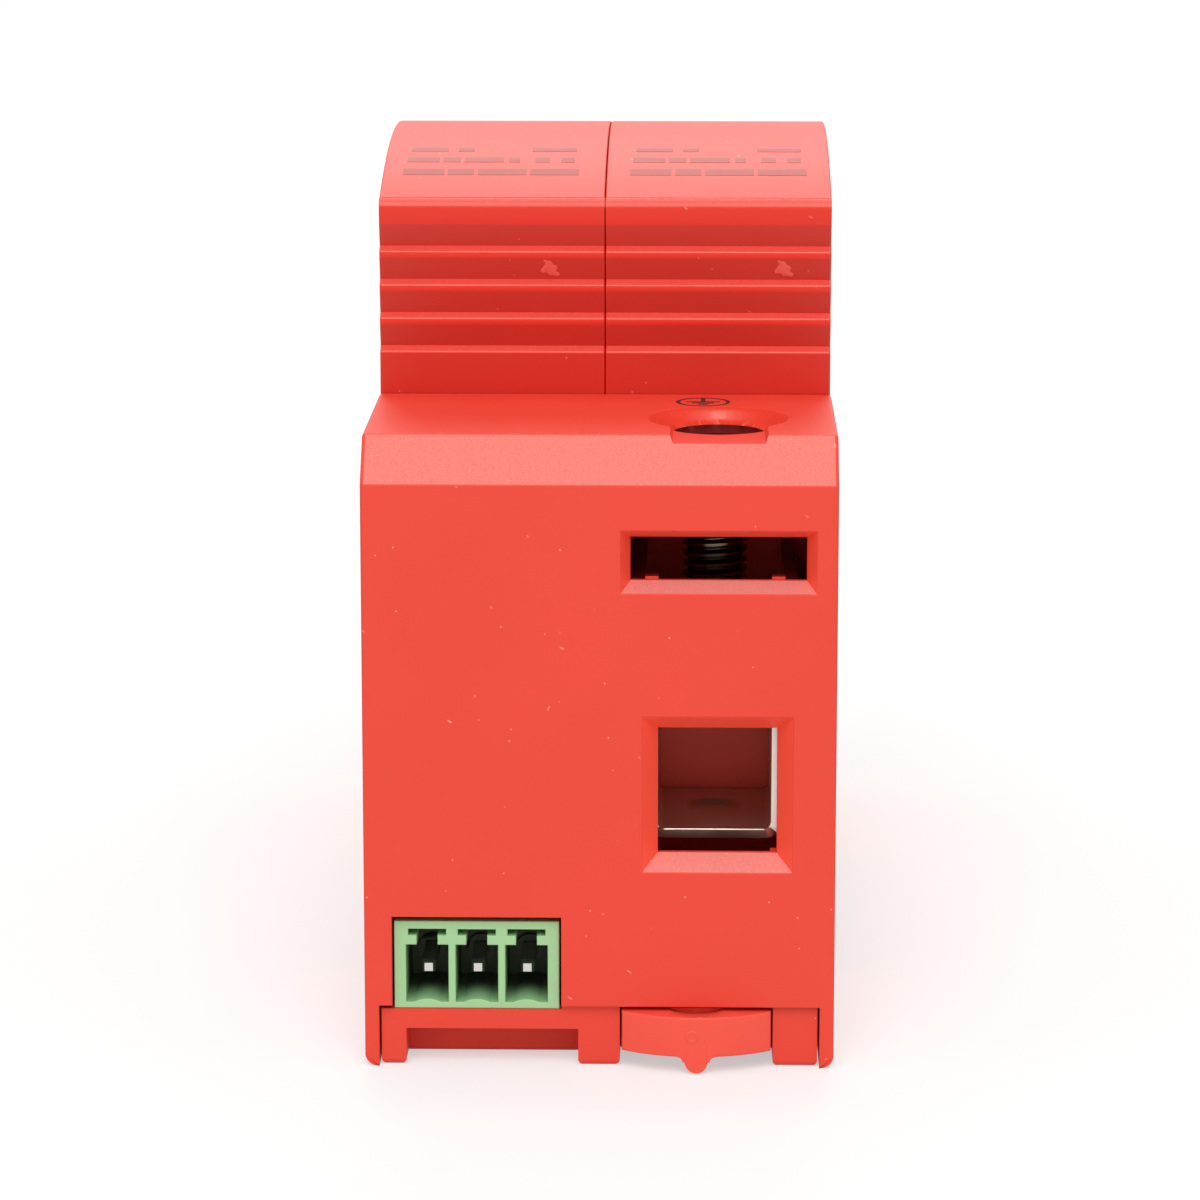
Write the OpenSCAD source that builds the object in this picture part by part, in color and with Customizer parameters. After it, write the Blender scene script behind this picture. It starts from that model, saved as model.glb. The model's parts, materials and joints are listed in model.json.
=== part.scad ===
// Two-module plug-in surge arrester for a 35 mm top-hat rail, all sizes in mm
// +Z points away from the rail and the origin is the middle of the rail seat
// The end with the earth terminal, the signal header and the rail latch faces -Y

/* [Base] */
// Width of one module
module_w = 18; // [17.5:0.1:20]
// Length of the bay that takes the plugs
nose_len = 45; // [43:0.5:48]
// Length of a shoulder, from the bay to the end face
shoulder_len = 22.5; // [21.5:0.1:26]
// Height of the shoulders above the rail seat
shoulder_z = 44; // [43.5:0.1:50]
// Height of the bevel on the outer edge of a shoulder
bevel_h = 3.4; // [2:0.1:5]
// Depth of the bevel on the outer edge of a shoulder
bevel_len = 3.05; // [2:0.05:5]
// Drop of the feet below the rail seat
foot_drop = 4.8; // [4.6:0.1:6]
// Thickness of the side walls
side_wall = 1.1; // [0.9:0.05:1.4]
// Thickness of the end walls
end_wall = 2.2; // [2:0.1:2.6]
// Thickness of the roof over the terminals
roof_t = 1.8; // [1.4:0.1:2.2]
// Height of the bay floor above the rail seat
bay_z = 15; // [14.8:0.1:17]
// Thickness of the bay floor and the bay walls
bay_wall = 1.4; // [1.2:0.1:1.6]
// Thickness of the ribs inside the housing
rib_t = 1; // [0.8:0.1:1.2]
// Radius of the outer corners of the skirts
skirt_r = 1; // [0.5:0.1:1.5]
// Play between parts that slide on each other
play = 0.15; // [0.1:0.01:0.2]
// Gap between parts that are pressed together
press_gap = 0.05; // [0.03:0.01:0.08]

/* [Rail base] */
// Width of the rail
rail_w = 35; // [34.7:0.1:35.3]
// Thickness of the rail flange
rail_t = 1; // [0.9:0.1:1.3]
// Overlap of hook and latch with the rail flange
rail_grip = 1.6; // [1.2:0.1:2]
// Thickness of the floor
floor_t = 1.5; // [1.2:0.1:1.8]
// Set-back of the feet from the end faces
foot_set = 0.5; // [0.3:0.1:1]
// Width of the narrow foot
slim_foot_w = 1.9; // [1.6:0.1:2.4]
// Width of the middle foot
mid_foot_w = 3.2; // [2.6:0.1:3.6]
// Depth of the pocket between the narrow and the middle foot
pocket_len = 3.6; // [3:0.1:5]

/* [Rail latch] */
// Offset of the latch from the middle of the right module
latch_shift = 1.55; // [1.2:0.05:2]
// Width of the latch
latch_w = 11.45; // [10.5:0.05:12]
// Thickness of the latch
latch_t = 3.15; // [2.8:0.05:3.3]
// Bulge of the latch face
latch_bulge = 1.8; // [1:0.1:2.5]
// Width of the finger nib
nib_w = 2.1; // [1.8:0.1:2.6]
// Thickness of the finger nib
nib_t = 2; // [1.5:0.1:2.5]
// Travel of the latch
latch_travel = 4; // [3:0.1:4.5]

/* [Terminals] */
// Distance of the screw axis from the end face
axis_inset = 11; // [10.6:0.1:12]
// Offset of the screw axis from the middle of the module
axis_shift = 0.25; // [0:0.05:0.4]
// Width of the cable entry
entry_w = 9.1; // [8.6:0.1:9.6]
// Height of the cable entry
entry_h = 9.8; // [9.4:0.1:10.4]
// Height of the middle of the cable entry
entry_z = 16.75; // [16.5:0.05:17.2]
// Bevel round the cable entry
entry_bevel = 1.2; // [0.6:0.1:1.4]
// Width of the comb bar slot
slot_w = 13.35; // [12:0.05:13.8]
// Height of the comb bar slot
slot_h = 3.35; // [2.8:0.05:3.6]
// Drop of the middle of the comb bar slot below the shoulder
slot_drop = 9.25; // [9:0.05:9.5]
// Bevel round the comb bar slot
slot_bevel = 0.75; // [0.4:0.05:1]
// Depth of the bevels round entry and slot
mouth_depth = 1.7; // [1.2:0.1:1.8]
// Diameter of the screwdriver hole
access_d = 7; // [6:0.1:7.6]
// Diameter of the flare of the screwdriver hole
access_flare_d = 10.7; // [9:0.1:11.5]
// Depth of the flare of the screwdriver hole
access_flare_h = 1.1; // [0.8:0.1:1.3]
// Depth of the notch from the screwdriver hole to the bevel
notch_h = 0.6; // [0.4:0.05:0.8]
// Inner width of the cage
cage_in_w = 8.7; // [8.5:0.1:8.9]
// Gap between the cable stop and the current bar
bar_clear = 1.5; // [1:0.1:2]
// Thickness of the cage strip
cage_t = 0.8; // [0.7:0.1:1]
// Thickness of the threaded top of the cage
cage_top_t = 2.6; // [2:0.1:3]
// Height of the cage floor above the lower edge of the entry
cage_step = 1.4; // [1:0.1:1.6]
// Thread diameter of the terminal screw
screw_d = 5; // [4:0.1:5.5]
// Head diameter of the terminal screw
head_d = 8.2; // [7.8:0.1:8.6]
// Head height of the terminal screw
head_h = 3.4; // [2.8:0.1:4]
// Thickness of the current bars
bar_t = 1.5; // [1.2:0.1:1.8]
// Width of the current bars
bar_w = 7.8; // [7:0.1:8]

/* [Signal circuit] */
// Pole pitch of the header
pole_pitch = 3.81; // [3.5:0.01:3.9]
// Width of a header cell
cell_w = 3.25; // [2.9:0.05:3.3]
// Height of a header cell
cell_h = 4.55; // [4.2:0.05:4.7]
// Thickness of the outer walls of the header
header_wall = 0.9; // [0.7:0.05:1]
// Height of the header
header_h = 6.95; // [6.8:0.05:7.2]
// Length of the header
header_len = 9.2; // [8:0.1:10]
// Distance of the header from the side wall
header_inset = 1.165; // [1:0.005:1.4]
// Side of a header pin
pin_w = 1; // [0.8:0.05:1.1]
// Thickness of the circuit board
board_t = 1.6; // [1.2:0.1:2]
// Diameter of the rocker shaft
shaft_d = 3; // [2.4:0.1:3.2]

/* [Plugs] */
// Gap between neighbouring plugs
plug_gap = 0.3; // [0.2:0.05:0.5]
// Height of the crest of the plugs above the shoulders
plug_rise = 19.2; // [18:0.1:22]
// Rise of the arched top
arch_rise = 3.9; // [2.5:0.1:5]
// Radius of the upper edge of the grip faces
edge_r = 0.8; // [0.5:0.1:1.2]
// Thickness of the side walls of a plug
plug_side = 1.2; // [1:0.05:1.3]
// Thickness of the end walls of a plug
plug_end = 2.4; // [2.2:0.1:2.6]
// Thickness of the arched top
plug_top = 1.6; // [1.3:0.1:1.9]
// Drop of the deepest line of the first grip groove below the crest
grip_drop = 7.45; // [7:0.05:8]
// Pitch of the grip grooves
grip_pitch = 2.66; // [2.4:0.01:2.8]
// Depth of the grip grooves
grip_depth = 0.6; // [0.3:0.05:0.8]
// Height of the sloping side of a grip groove
grip_slope = 1.75; // [1.4:0.05:1.85]
// Height of the lower side of a grip groove
grip_ledge = 0.4; // [0.2:0.05:0.45]
// Width of the guide ribs in the bay
guide_w = 4; // [3:0.1:5]
// Depth of the guide ribs in the bay
guide_d = 1; // [0.7:0.05:1.2]
// Width of a plug blade
blade_w = 6.2; // [5:0.1:6.6]
// Thickness of a plug blade
blade_t = 0.9; // [0.7:0.05:1]
// Distance of the blades from the end walls of the plug
blade_inset = 0.85; // [0.6:0.05:1.2]
// Side of the varistor block
varistor_s = 33; // [30:0.5:34]
// Thickness of the varistor block
varistor_t = 6.8; // [6:0.1:6.9]
// Width of the status window
window_w = 7; // [5:0.1:8]
// Length of the status window
window_len = 5; // [4:0.1:5.4]
// Drop of the trip slider
trip_travel = 3.5; // [3:0.1:3.6]

/* [Hidden] */
$fn = 64;

// Overshoot of cutting shapes
cut = 1;
// Overlap of shapes that are joined
join = 0.2;

// Housing
half_w = module_w;
bay_y = nose_len / 2;
end_y = bay_y + shoulder_len;
body_len = 2 * end_y;
inner_x = half_w - side_wall;
wall_y = end_y - end_wall;
tower_y = bay_y + bay_wall;
roof_z = shoulder_z - roof_t;
under_z = bay_z - bay_wall;
rail_side = 0.4;
rail_y = rail_w / 2 + rail_side;
guide_drop = 4;
mid_x = module_w / 2;
left = -1;
right = 1;
front = -1;
rear = 1;

// Terminals, drawn at the front right and mirrored to the other places
axis_x = mid_x - axis_shift;
axis_y = axis_inset - end_y;
slot_z = shoulder_z - slot_drop;
entry_low = entry_z - entry_h / 2;
entry_top = entry_z + entry_h / 2;
slot_low = slot_z - slot_h / 2;
slot_top = slot_z + slot_h / 2;
cage_w = cage_in_w + 2 * cage_t;
cage_set = 1.3;
cage_y = end_wall + cage_set - end_y;
cage_floor_z = entry_low + cage_step;
tongue_gap = 0.5;
tongue_z = entry_top + tongue_gap;
cage_roof_z = tongue_z + bar_t + play;
head_gap = 1.1;
head_z = slot_top + head_gap;
rib_x = cage_w / 2 + play;
rib_low = 7;
stop_gap = 0.6;
stop_y = -tower_y - bar_t - bar_clear - rib_t;
cage_len = stop_y - stop_gap - cage_y;
nub_h = 0.4;
bend_r = 0.5;
dimple_d = 4.8;
dimple_h = 0.4;
dimple_flare = 1.4;
slit_w = 1.2;
slit_h = 1.6;
cross_w = 1;
cross_len = 4.4;
cross_h = 2;

// Rail base and latch
base_x = inner_x - play;
base_y = wall_y - play;
foot_y = end_y - foot_set;
header_low = -0.35;
shelf_low = -1.9;
latch_top = -0.3;
latch_low = latch_top - latch_t;
latch_x = mid_x - latch_shift;
latch_l = latch_x - latch_w / 2;
latch_r = latch_x + latch_w / 2;
mid_foot_r = latch_l - play;
mid_foot_l = mid_foot_r - mid_foot_w;
seat_relief = 0.8;
seat_y = rail_y - rail_grip - seat_relief;
relief_h = 0.3;
hook_gap = 0.35;
hook_z = -rail_t - hook_gap;
hook_y = rail_w / 2 - rail_grip;
hook_half = 12;
hook_lip = 0.8;
hook_low = 0.4;
bridge_h = 1.6;
bearing_w = 2;
bearing_len = 5.2;
bearing_lip = 0.4;
latch_tail = rail_y + 0.5;
latch_face_y = -end_y - latch_bulge;
latch_face_r = (pow(latch_w / 2, 2) + pow(latch_bulge, 2)) / (2 * latch_bulge);
spring_set = 7;
spring_rest = 6.4;
post_gap = 0.2;
post_len = 1.4;
post_w = 3.2;
spring_bay = post_gap + post_len + latch_travel + spring_rest;
spring_bay_w = 4.2;
window_y = [spring_set - end_y, spring_set + spring_bay - end_y];
post_y = [window_y[0] + post_gap, window_y[0] + post_gap + post_len];
runner_ahead = 2;
foot_gap = 0.1;
coil_r = 1.15;
coil_wire = 0.4;
scoop_r = 6.35;
scoop_depth = 0.35;
scoop_len = 2.2;
scoop_set = 0.5;
nib_tip_r = 0.85;
nib_fillet = 0.4;
face_len = 2;
tongue_w = 8.8;
tongue_lip = 0.6;
tongue_slope = 1.4;

// Signal circuit
header_w = 2 * pole_pitch + cell_w + 2 * header_wall;
header_x = header_inset - inner_x + header_w / 2;
header_top = header_low + header_h;
header_set = 0.6;
header_y = header_set - end_y;
header_back = header_y + header_len;
header_gap = 0.45;
header_back_t = 1.2;
cell_floor = 0.5;
cell_low = header_low + cell_floor;
key_roof = 0.65;
key_h = 0.5;
key_w = 2.9;
key_neck_w = 1.6;
rest_r = 2.25;
rest_w = 2.2;
rest_h = 0.25;
collar_d = 2.2;
collar_len = 0.5;
pin_up = 2.75;
pin_z = header_low + pin_up;
pin_set = 1.9;
pin_point = 0.5;
pin_tip = 0.64 * pin_w;
pin_tail = 1;
drill = 8;
cell_back = header_back - header_back_t;
board_y = [header_back, header_back + board_t];
pin_y = [header_y + pin_set, header_y + pin_set + pin_point, board_y[1] + pin_tail];
shelf_gap = 0.6;
shelf_y = board_y[1] + shelf_gap;
rocker_y = -6;
rod_end = bay_z + 0.4;
rocker_gap = 0.3;
rocker_z = rod_end - trip_travel - rocker_gap - shaft_d / 2;
arm_t = 1.6;
arm_drop = 1;
arm_gap = 1;
arm_w = 1.9;
tail_w = 2.8;
tail_len = 2;
shaft_end = 1.5;
arm_x = [arm_gap - inner_x, arm_gap + arm_w - inner_x];
pad_w = 4.4;
pad_gap = 1.5;
pad_len = 2.5;
pad_y = [board_y[1] + pad_gap, board_y[1] + pad_gap + pad_len];
pad_z = [rocker_z - arm_drop, rocker_z - arm_drop + arm_t];
switch_gap = 1.2;
switch_low = pad_z[1] + switch_gap;
switch_inset = 0.4;
switch_w = 10;
switch_len = 5.4;
switch_h = 6;
button_inset = 1.5;
button_w = 1.8;
button_edge = 0.4;
button_bore = 3.2;
button_in = 1.8;
switch_x = arm_x[0] + switch_inset;
button_x = switch_x + button_inset;
board_edge = 2.1;
board_top = switch_low + switch_h + board_edge;
bearing_gap = 6.4;
bearing_shift = 0.5;
bearing_x = [bearing_gap - inner_x, mid_x - bearing_shift];

// Plugs, drawn round x = 0 and moved to their places
plug_w = module_w - plug_gap / 2 - press_gap;
plug_y = bay_y - play;
plug_seat = 0.1;
plug_low = bay_z + plug_seat;
crest_z = shoulder_z + plug_rise;
grip_z = crest_z - grip_drop;
arch_r = (plug_y * plug_y + arch_rise * arch_rise) / (2 * arch_rise);
arch_c = crest_z - arch_r;
edge_y = plug_y - edge_r;
edge_z = arch_c + sqrt(pow(arch_r - edge_r, 2) - edge_y * edge_y);
cap_x = plug_w / 2 - plug_side;
cap_y = plug_y - plug_end;
blade_y = cap_y - blade_inset - blade_w / 2;
blade_slack = 0.5;
plate_t = 2;
plate_z = plug_low + plate_t;
jog_gap = 0.3;
jog_z = plate_z + jog_gap;
block_gap = 1.5;
block_low = jog_z + blade_t + block_gap;
blade_gap = 0.2;
block_l = blade_gap + blade_t - cap_x;
block_r = block_l + varistor_t;
rest_y = 9;
block_corner = 3;
earth_lap = 16.2;
strap_t = 0.7;
strap_up = 13.2;
strap_h = 5;
strap_back = 3;
strap_z = [block_low + strap_up, block_low + strap_up + strap_h];
bar_top = floor_t + bar_t;
bar_end = 0.2;
lap_half = 3.3;
socket_w = 6;
leaf_t = 0.8;
knee_up = 2.4;
leaf_flare = 1;
pinch_down = 3;
lip_down = 0.2;
socket_gap = 1;
socket_top = under_z - socket_gap;
blade_tip = bar_top + knee_up - lip_down;
slider_gap = 0.7;
slider_wall = 1.2;
slider_x = [block_r + strap_t + blade_t + slider_gap, cap_x - slider_wall];
slider_len = 6;
slider_up = 6.2;
slider_low = block_low + slider_up;
slider_lap = 1.4;
ledge_t = 2;
ledge_end = 2.2;
flag_t = 1;
flag_side = 0.4;
flag_end = 0.5;
flag_gap = 0.4;
trip_x = (slider_x[0] + slider_x[1]) / 2;
trip_y = 5;
trip_r = 1.2;
trip_slack = 0.4;
window_mid = 10.5;
flag_z = arch_c + sqrt(pow(arch_r - plug_top, 2) - pow(window_mid + window_len, 2)) - flag_gap;
trip_coil_r = 1.6;
trip_wire = 0.5;
coil_y = -3.5;
coil_drop = 17.2;
coil_z = crest_z - coil_drop;
coil_top = arch_c + sqrt(pow(arch_r - plug_top, 2) - pow(coil_y - ledge_t, 2)) - press_gap;

// Colours
red = [0.86, 0.16, 0.11];
soft_red = [0.9, 0.24, 0.19];
green = [0.36, 0.68, 0.42];
steel = [0.72, 0.72, 0.7];
copper = [0.76, 0.5, 0.34];
tin = [0.8, 0.8, 0.78];

// Helpers
module block(x, y, z)
    translate([x[0], y[0], z[0]])
        cube([x[1] - x[0], y[1] - y[0], z[1] - z[0]]);

module along_x(x)
    translate([x[0], 0, 0])
        rotate([90, 0, 90])
            linear_extrude(x[1] - x[0])
                children();

module along_y(y)
    translate([0, y[1], 0])
        rotate([90, 0, 0])
            linear_extrude(y[1] - y[0])
                children();

module at_corner(side, end)
    mirror([side < 0 ? 1 : 0, 0, 0])
        mirror([0, end > 0 ? 1 : 0, 0])
            children();

module at_plug(side)
    translate([side * mid_x, 0, 0])
        children();

module soft_square(w, h, r) {
    square([w - 2 * r, h], center = true);
    square([w, h - 2 * r], center = true);
    for (x = [-1, 1], y = [-1, 1])
        translate([x * (w / 2 - r), y * (h / 2 - r)])
            circle(r);
}

// Round wire wound upwards from z = 0
module coil(mean_r, wire, length, turns) {
    steps = turns * 12;
    sides = 6;
    rise = length - wire;
    points = [for (i = [0:steps], j = [0:sides - 1])
        let (a = 360 * turns * i / steps, b = 360 * j / sides, r = mean_r + wire / 2 * cos(b))
        [r * cos(a), r * sin(a), wire / 2 + rise * i / steps + wire / 2 * sin(b)]];
    first = [for (j = [0:sides - 1]) j];
    last = [for (j = [0:sides - 1]) steps * sides + sides - 1 - j];
    skin = [for (i = [0:steps - 1], j = [0:sides - 1], k = [0:1])
        let (a = i * sides + j, b = i * sides + (j + 1) % sides)
        k == 0 ? [a, a + sides, b] : [b, a + sides, b + sides]];
    polyhedron(points, concat([first, last], skin));
}

// Housing
module housing_profile()
    polygon([[-end_y, -foot_drop], [-end_y, shoulder_z - bevel_h], [bevel_len - end_y, shoulder_z],
        [-bay_y, shoulder_z], [-bay_y, bay_z], [bay_y, bay_z], [bay_y, shoulder_z],
        [end_y - bevel_len, shoulder_z], [end_y, shoulder_z - bevel_h], [end_y, -foot_drop],
        [rail_y, -foot_drop], [rail_y, 0], [-rail_y, 0], [-rail_y, -foot_drop]]);

module skirt_corner(side)
    translate([side * (half_w - skirt_r), 0, skirt_r - foot_drop])
        difference() {
            block([min(0, side * (skirt_r + cut)), max(0, side * (skirt_r + cut))],
                [-end_y - cut, end_y + cut], [-skirt_r - cut, 0]);
            rotate([90, 0, 0])
                cylinder(h = body_len + 4 * cut, r = skirt_r, center = true);
        }

module housing_hollows() {
    for (side = [left, right], end = [front, rear])
        at_corner(side, end)
            block([rib_t / 2, inner_x], [-wall_y, -tower_y], [-foot_drop - cut, roof_z]);
    block([-inner_x, inner_x], [-tower_y - join, tower_y + join], [-foot_drop - cut, under_z]);
    block([-inner_x, inner_x], [-wall_y, wall_y], [-foot_drop - cut, rib_low]);
    block([-inner_x, inner_x], [-end_y - cut, end_y + cut], [-foot_drop - cut, 0]);
}

// Ribs that guide the cage, stop it at the front and stop the cable behind it
module terminal_ribs() {
    for (side = [-1, 1])
        translate([axis_x, 0, 0]) {
            block([side * (rib_x + rib_t / 2) - rib_t / 2, side * (rib_x + rib_t / 2) + rib_t / 2],
                [-wall_y - join, -tower_y + join], [rib_low, slot_low - nub_h]);
            block([side * (rib_x - rib_t / 2) - rib_t / 2, side * (rib_x - rib_t / 2) + rib_t / 2],
                [-wall_y - join, cage_y - 2 * play], [rib_low, slot_low + nub_h]);
        }
    block([axis_x - rib_x - join, axis_x + rib_x + join], [stop_y, stop_y + rib_t],
        [rib_low, tongue_z - play]);
}

module mouth(w, h, z, bevel, back) {
    block([mid_x - w / 2, mid_x + w / 2], [-end_y - cut, back], [z - h / 2, z + h / 2]);
    intersection() {
        along_x([mid_x - w, mid_x + w])
            polygon([[-end_y - mouth_depth, z - h / 2 - 2 * bevel],
                [-end_y - mouth_depth, z + h / 2 + 2 * bevel],
                [mouth_depth - end_y, z + h / 2], [mouth_depth - end_y, z - h / 2]]);
        translate([mid_x, 0, z - h])
            linear_extrude(2 * h)
                polygon([[-w / 2 - 2 * bevel, -end_y - mouth_depth],
                    [w / 2 + 2 * bevel, -end_y - mouth_depth],
                    [w / 2, mouth_depth - end_y], [-w / 2, mouth_depth - end_y]]);
    }
}

module terminal_openings() {
    mouth(entry_w, entry_h, entry_z, entry_bevel, cage_y);
    mouth(slot_w, slot_h, slot_z, slot_bevel, -wall_y);
    translate([mid_x, axis_y, roof_z - cut])
        cylinder(h = roof_t + 2 * cut, d = access_d);
    translate([mid_x, axis_y, shoulder_z - access_flare_h])
        cylinder(h = access_flare_h, d1 = access_d, d2 = access_flare_d);
    along_y([-end_y - cut, axis_y])
        polygon([[mid_x - access_d / 2, shoulder_z - notch_h],
            [mid_x - access_d / 2 - notch_h, shoulder_z + cut],
            [mid_x + access_d / 2 + notch_h, shoulder_z + cut],
            [mid_x + access_d / 2, shoulder_z - notch_h]]);
}

module at_terminals() {
    at_corner(right, front) children();
    at_corner(left, rear) children();
    at_corner(right, rear) children();
}

module base_housing()
    color(red)
        difference() {
            union() {
                difference() {
                    along_x([-half_w, half_w])
                        housing_profile();
                    housing_hollows();
                    skirt_corner(left);
                    skirt_corner(right);
                }
                at_terminals() terminal_ribs();
                for (side = [left, right], end = [front, rear])
                    at_corner(side, end)
                        block([mid_x - guide_w / 2, mid_x + guide_w / 2],
                            [-bay_y - join, guide_d - bay_y],
                            [bay_z - join, shoulder_z - guide_drop]);
            }
            at_terminals() terminal_openings();
            block([header_x - header_w / 2 - play, header_x + header_w / 2 + play],
                [-end_y - cut, cut - wall_y], [-foot_drop - cut, header_top + header_gap]);
            for (side = [left, right])
                at_plug(side) {
                    for (y = [-blade_y, blade_y])
                        translate([0, y, bay_z])
                            cube([blade_t + 2 * blade_slack, blade_w + 2 * blade_slack,
                                4 * bay_wall], center = true);
                    translate([trip_x, trip_y, under_z - cut])
                        cylinder(h = bay_wall + 2 * cut, r = trip_r + trip_slack);
                }
        }

// Rail base
module foot_rib(x, y, top)
    block(x, y, [-foot_drop, top]);

module bearing(x)
    difference() {
        block([x - bearing_w / 2, x + bearing_w / 2],
            [rocker_y - bearing_len / 2, rocker_y + bearing_len / 2],
            [floor_t - join, rocker_z + shaft_d / 2 + bearing_lip]);
        translate([x, rocker_y, rocker_z])
            rotate([0, 90, 0])
                cylinder(h = 2 * bearing_w, d = shaft_d + 2 * play, center = true);
        block([x - bearing_w, x + bearing_w], [rocker_y - shaft_d * 0.4, rocker_y + shaft_d * 0.4],
            [rocker_z, rocker_z + shaft_d]);
    }

module rail_base()
    color(red) {
        difference() {
            union() {
                block([-base_x, base_x], [-base_y, base_y], [0, floor_t]);
                block([-base_x, mid_foot_r], [-foot_y, shelf_y + rib_t], [shelf_low, header_low]);
                block([-base_x, mid_foot_r], [shelf_y, shelf_y + rib_t], [shelf_low, floor_t]);
            }
            block([-base_x - cut, header_x + header_w / 2 + 2 * play], [-base_y - cut, shelf_y],
                [header_low, floor_t + cut]);
            for (end = [front, rear])
                at_corner(right, end)
                    block([-base_x - cut, base_x + cut], [-rail_y, -seat_y], [-cut, relief_h]);
        }
        foot_rib([-base_x, slim_foot_w - base_x], [-foot_y, shelf_y], shelf_low + join);
        foot_rib([-base_x, slim_foot_w - base_x], [shelf_y, -rail_y], join);
        foot_rib([mid_foot_l, mid_foot_r], [-foot_y, shelf_y], shelf_low + join);
        foot_rib([mid_foot_l, mid_foot_r], [-base_y, -rail_y], join);
        foot_rib([latch_r + play, base_x], [-base_y, -rail_y], join);
        foot_rib([latch_r + play, base_x], [-foot_y, -base_y + join], -play);
        foot_rib([slim_foot_w - base_x - join, mid_foot_l + join],
            [pocket_len - foot_y, pocket_len - foot_y + rib_t], shelf_low + join);
        foot_rib([-base_x, mid_foot_r], [-rail_y - 2 * rib_t, -rail_y], join);
        for (x = [mid_foot_r, latch_r + play])
            block([x - rib_t, x + rib_t], [window_y[0] - runner_ahead, -rail_y - rib_t],
                [foot_gap - foot_drop, latch_low - play]);
        block([latch_x - post_w / 2, latch_x + post_w / 2], post_y, [latch_low + 2 * play, join]);
        for (x = [[-base_x, slim_foot_w - base_x], [mid_foot_l, mid_foot_r],
            [latch_r + play, base_x]])
            foot_rib(x, [rail_y, base_y], join);
        block([-base_x, base_x], [base_y - 2 * rib_t, foot_y], [bridge_h - foot_drop, -play]);
        foot_rib([-base_x, base_x], [rail_y, rail_y + 2 * rib_t], join);
        along_x([-hook_half, hook_half])
            polygon([[rail_y + join, hook_z], [hook_y, hook_z], [hook_y, hook_z - hook_lip],
                [rail_y + join, hook_low - foot_drop]]);
        for (x = bearing_x)
            bearing(x);
    }

// Finger nib seen from the end, a round tab that flares into the latch
module nib_shape() {
    hull() {
        translate([0, nib_tip_r + foot_gap - foot_drop])
            circle(nib_tip_r);
        translate([-nib_w / 2, latch_low])
            square([nib_w, join]);
    }
    difference() {
        translate([-nib_w / 2 - nib_fillet, latch_low - nib_fillet])
            square([nib_w + 2 * nib_fillet, nib_fillet + join]);
        for (side = [left, right])
            translate([side * (nib_w / 2 + nib_fillet), latch_low - nib_fillet])
                circle(nib_fillet);
    }
}

module rail_latch()
    color(soft_red) {
        difference() {
            union() {
                intersection() {
                    translate([0, 0, latch_low])
                        linear_extrude(latch_t)
                            translate([latch_l, latch_face_y])
                                square([latch_w, -latch_tail - latch_face_y]);
                    translate([latch_x, latch_face_y + latch_face_r, latch_low])
                        cylinder(h = latch_t, r = latch_face_r);
                }
                block([latch_l, latch_r], [face_len - end_y, -latch_tail], [latch_low, latch_top]);
            }
            block([latch_x - spring_bay_w / 2, latch_x + spring_bay_w / 2], window_y,
                [latch_low - cut, latch_top + cut]);
            translate([latch_x, latch_face_y + scoop_set, latch_top + scoop_r - scoop_depth])
                rotate([-90, 0, 0])
                    cylinder(h = scoop_len, r = scoop_r);
        }
        intersection() {
            along_y([latch_face_y - cut, latch_face_y + nib_t])
                translate([latch_x, 0])
                    nib_shape();
            translate([latch_x, latch_face_y + latch_face_r, -foot_drop])
                cylinder(h = latch_low + join + foot_drop, r = latch_face_r);
        }
        along_x([latch_x - tongue_w / 2, latch_x + tongue_w / 2])
            polygon([[-latch_tail - join, hook_z], [-hook_y, hook_z], [-hook_y, hook_z - tongue_lip],
                [-hook_y - tongue_slope, latch_low], [-latch_tail - join, latch_low]]);
    }

module latch_spring()
    color(steel)
        translate([latch_x, post_y[1], (latch_low + latch_top) / 2])
            rotate([-90, 0, 0])
                coil(coil_r, coil_wire, window_y[1] - post_y[1], 9);

// Signal circuit
module signal_header()
    color(green)
        difference() {
            union() {
                difference() {
                    block([header_x - header_w / 2, header_x + header_w / 2],
                        [header_y, header_back], [header_low, header_top]);
                    for (pole = [-1:1])
                        translate([header_x + pole * pole_pitch, 0, 0]) {
                            block([-cell_w / 2, cell_w / 2], [header_y - cut, cell_back],
                                [cell_low, cell_low + cell_h]);
                            block([-key_neck_w / 2, key_neck_w / 2], [header_y - cut, cell_back],
                                [cell_low + cell_h - join, header_top - key_roof]);
                            block([-key_w / 2, key_w / 2], [header_y - cut, cell_back],
                                [header_top - key_roof - key_h, header_top - key_roof]);
                        }
                }
                for (pole = [-1:1])
                    translate([header_x + pole * pole_pitch, 0, 0]) {
                        intersection() {
                            translate([0, header_y, cell_low + rest_h - rest_r])
                                rotate([-90, 0, 0])
                                    cylinder(h = header_len - header_back_t + join, r = rest_r);
                            block([-rest_w / 2, rest_w / 2], [header_y, cell_back + join],
                                [cell_low - join, cell_low + 2 * rest_h]);
                        }
                        translate([0, cell_back - collar_len, pin_z])
                            rotate([-90, 0, 0])
                                cylinder(h = collar_len + join, d = collar_d);
                    }
            }
            for (pole = [-1:1])
                translate([header_x + pole * pole_pitch, header_back, pin_z])
                    cube([pin_w + 2 * press_gap, drill, pin_w + 2 * press_gap], center = true);
        }

// Side view of a pin, with its bevelled point
module pin_side()
    polygon([[pin_y[0], -pin_tip / 2], [pin_y[1], -pin_w / 2], [pin_y[2], -pin_w / 2],
        [pin_y[2], pin_w / 2], [pin_y[1], pin_w / 2], [pin_y[0], pin_tip / 2]]);

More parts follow.
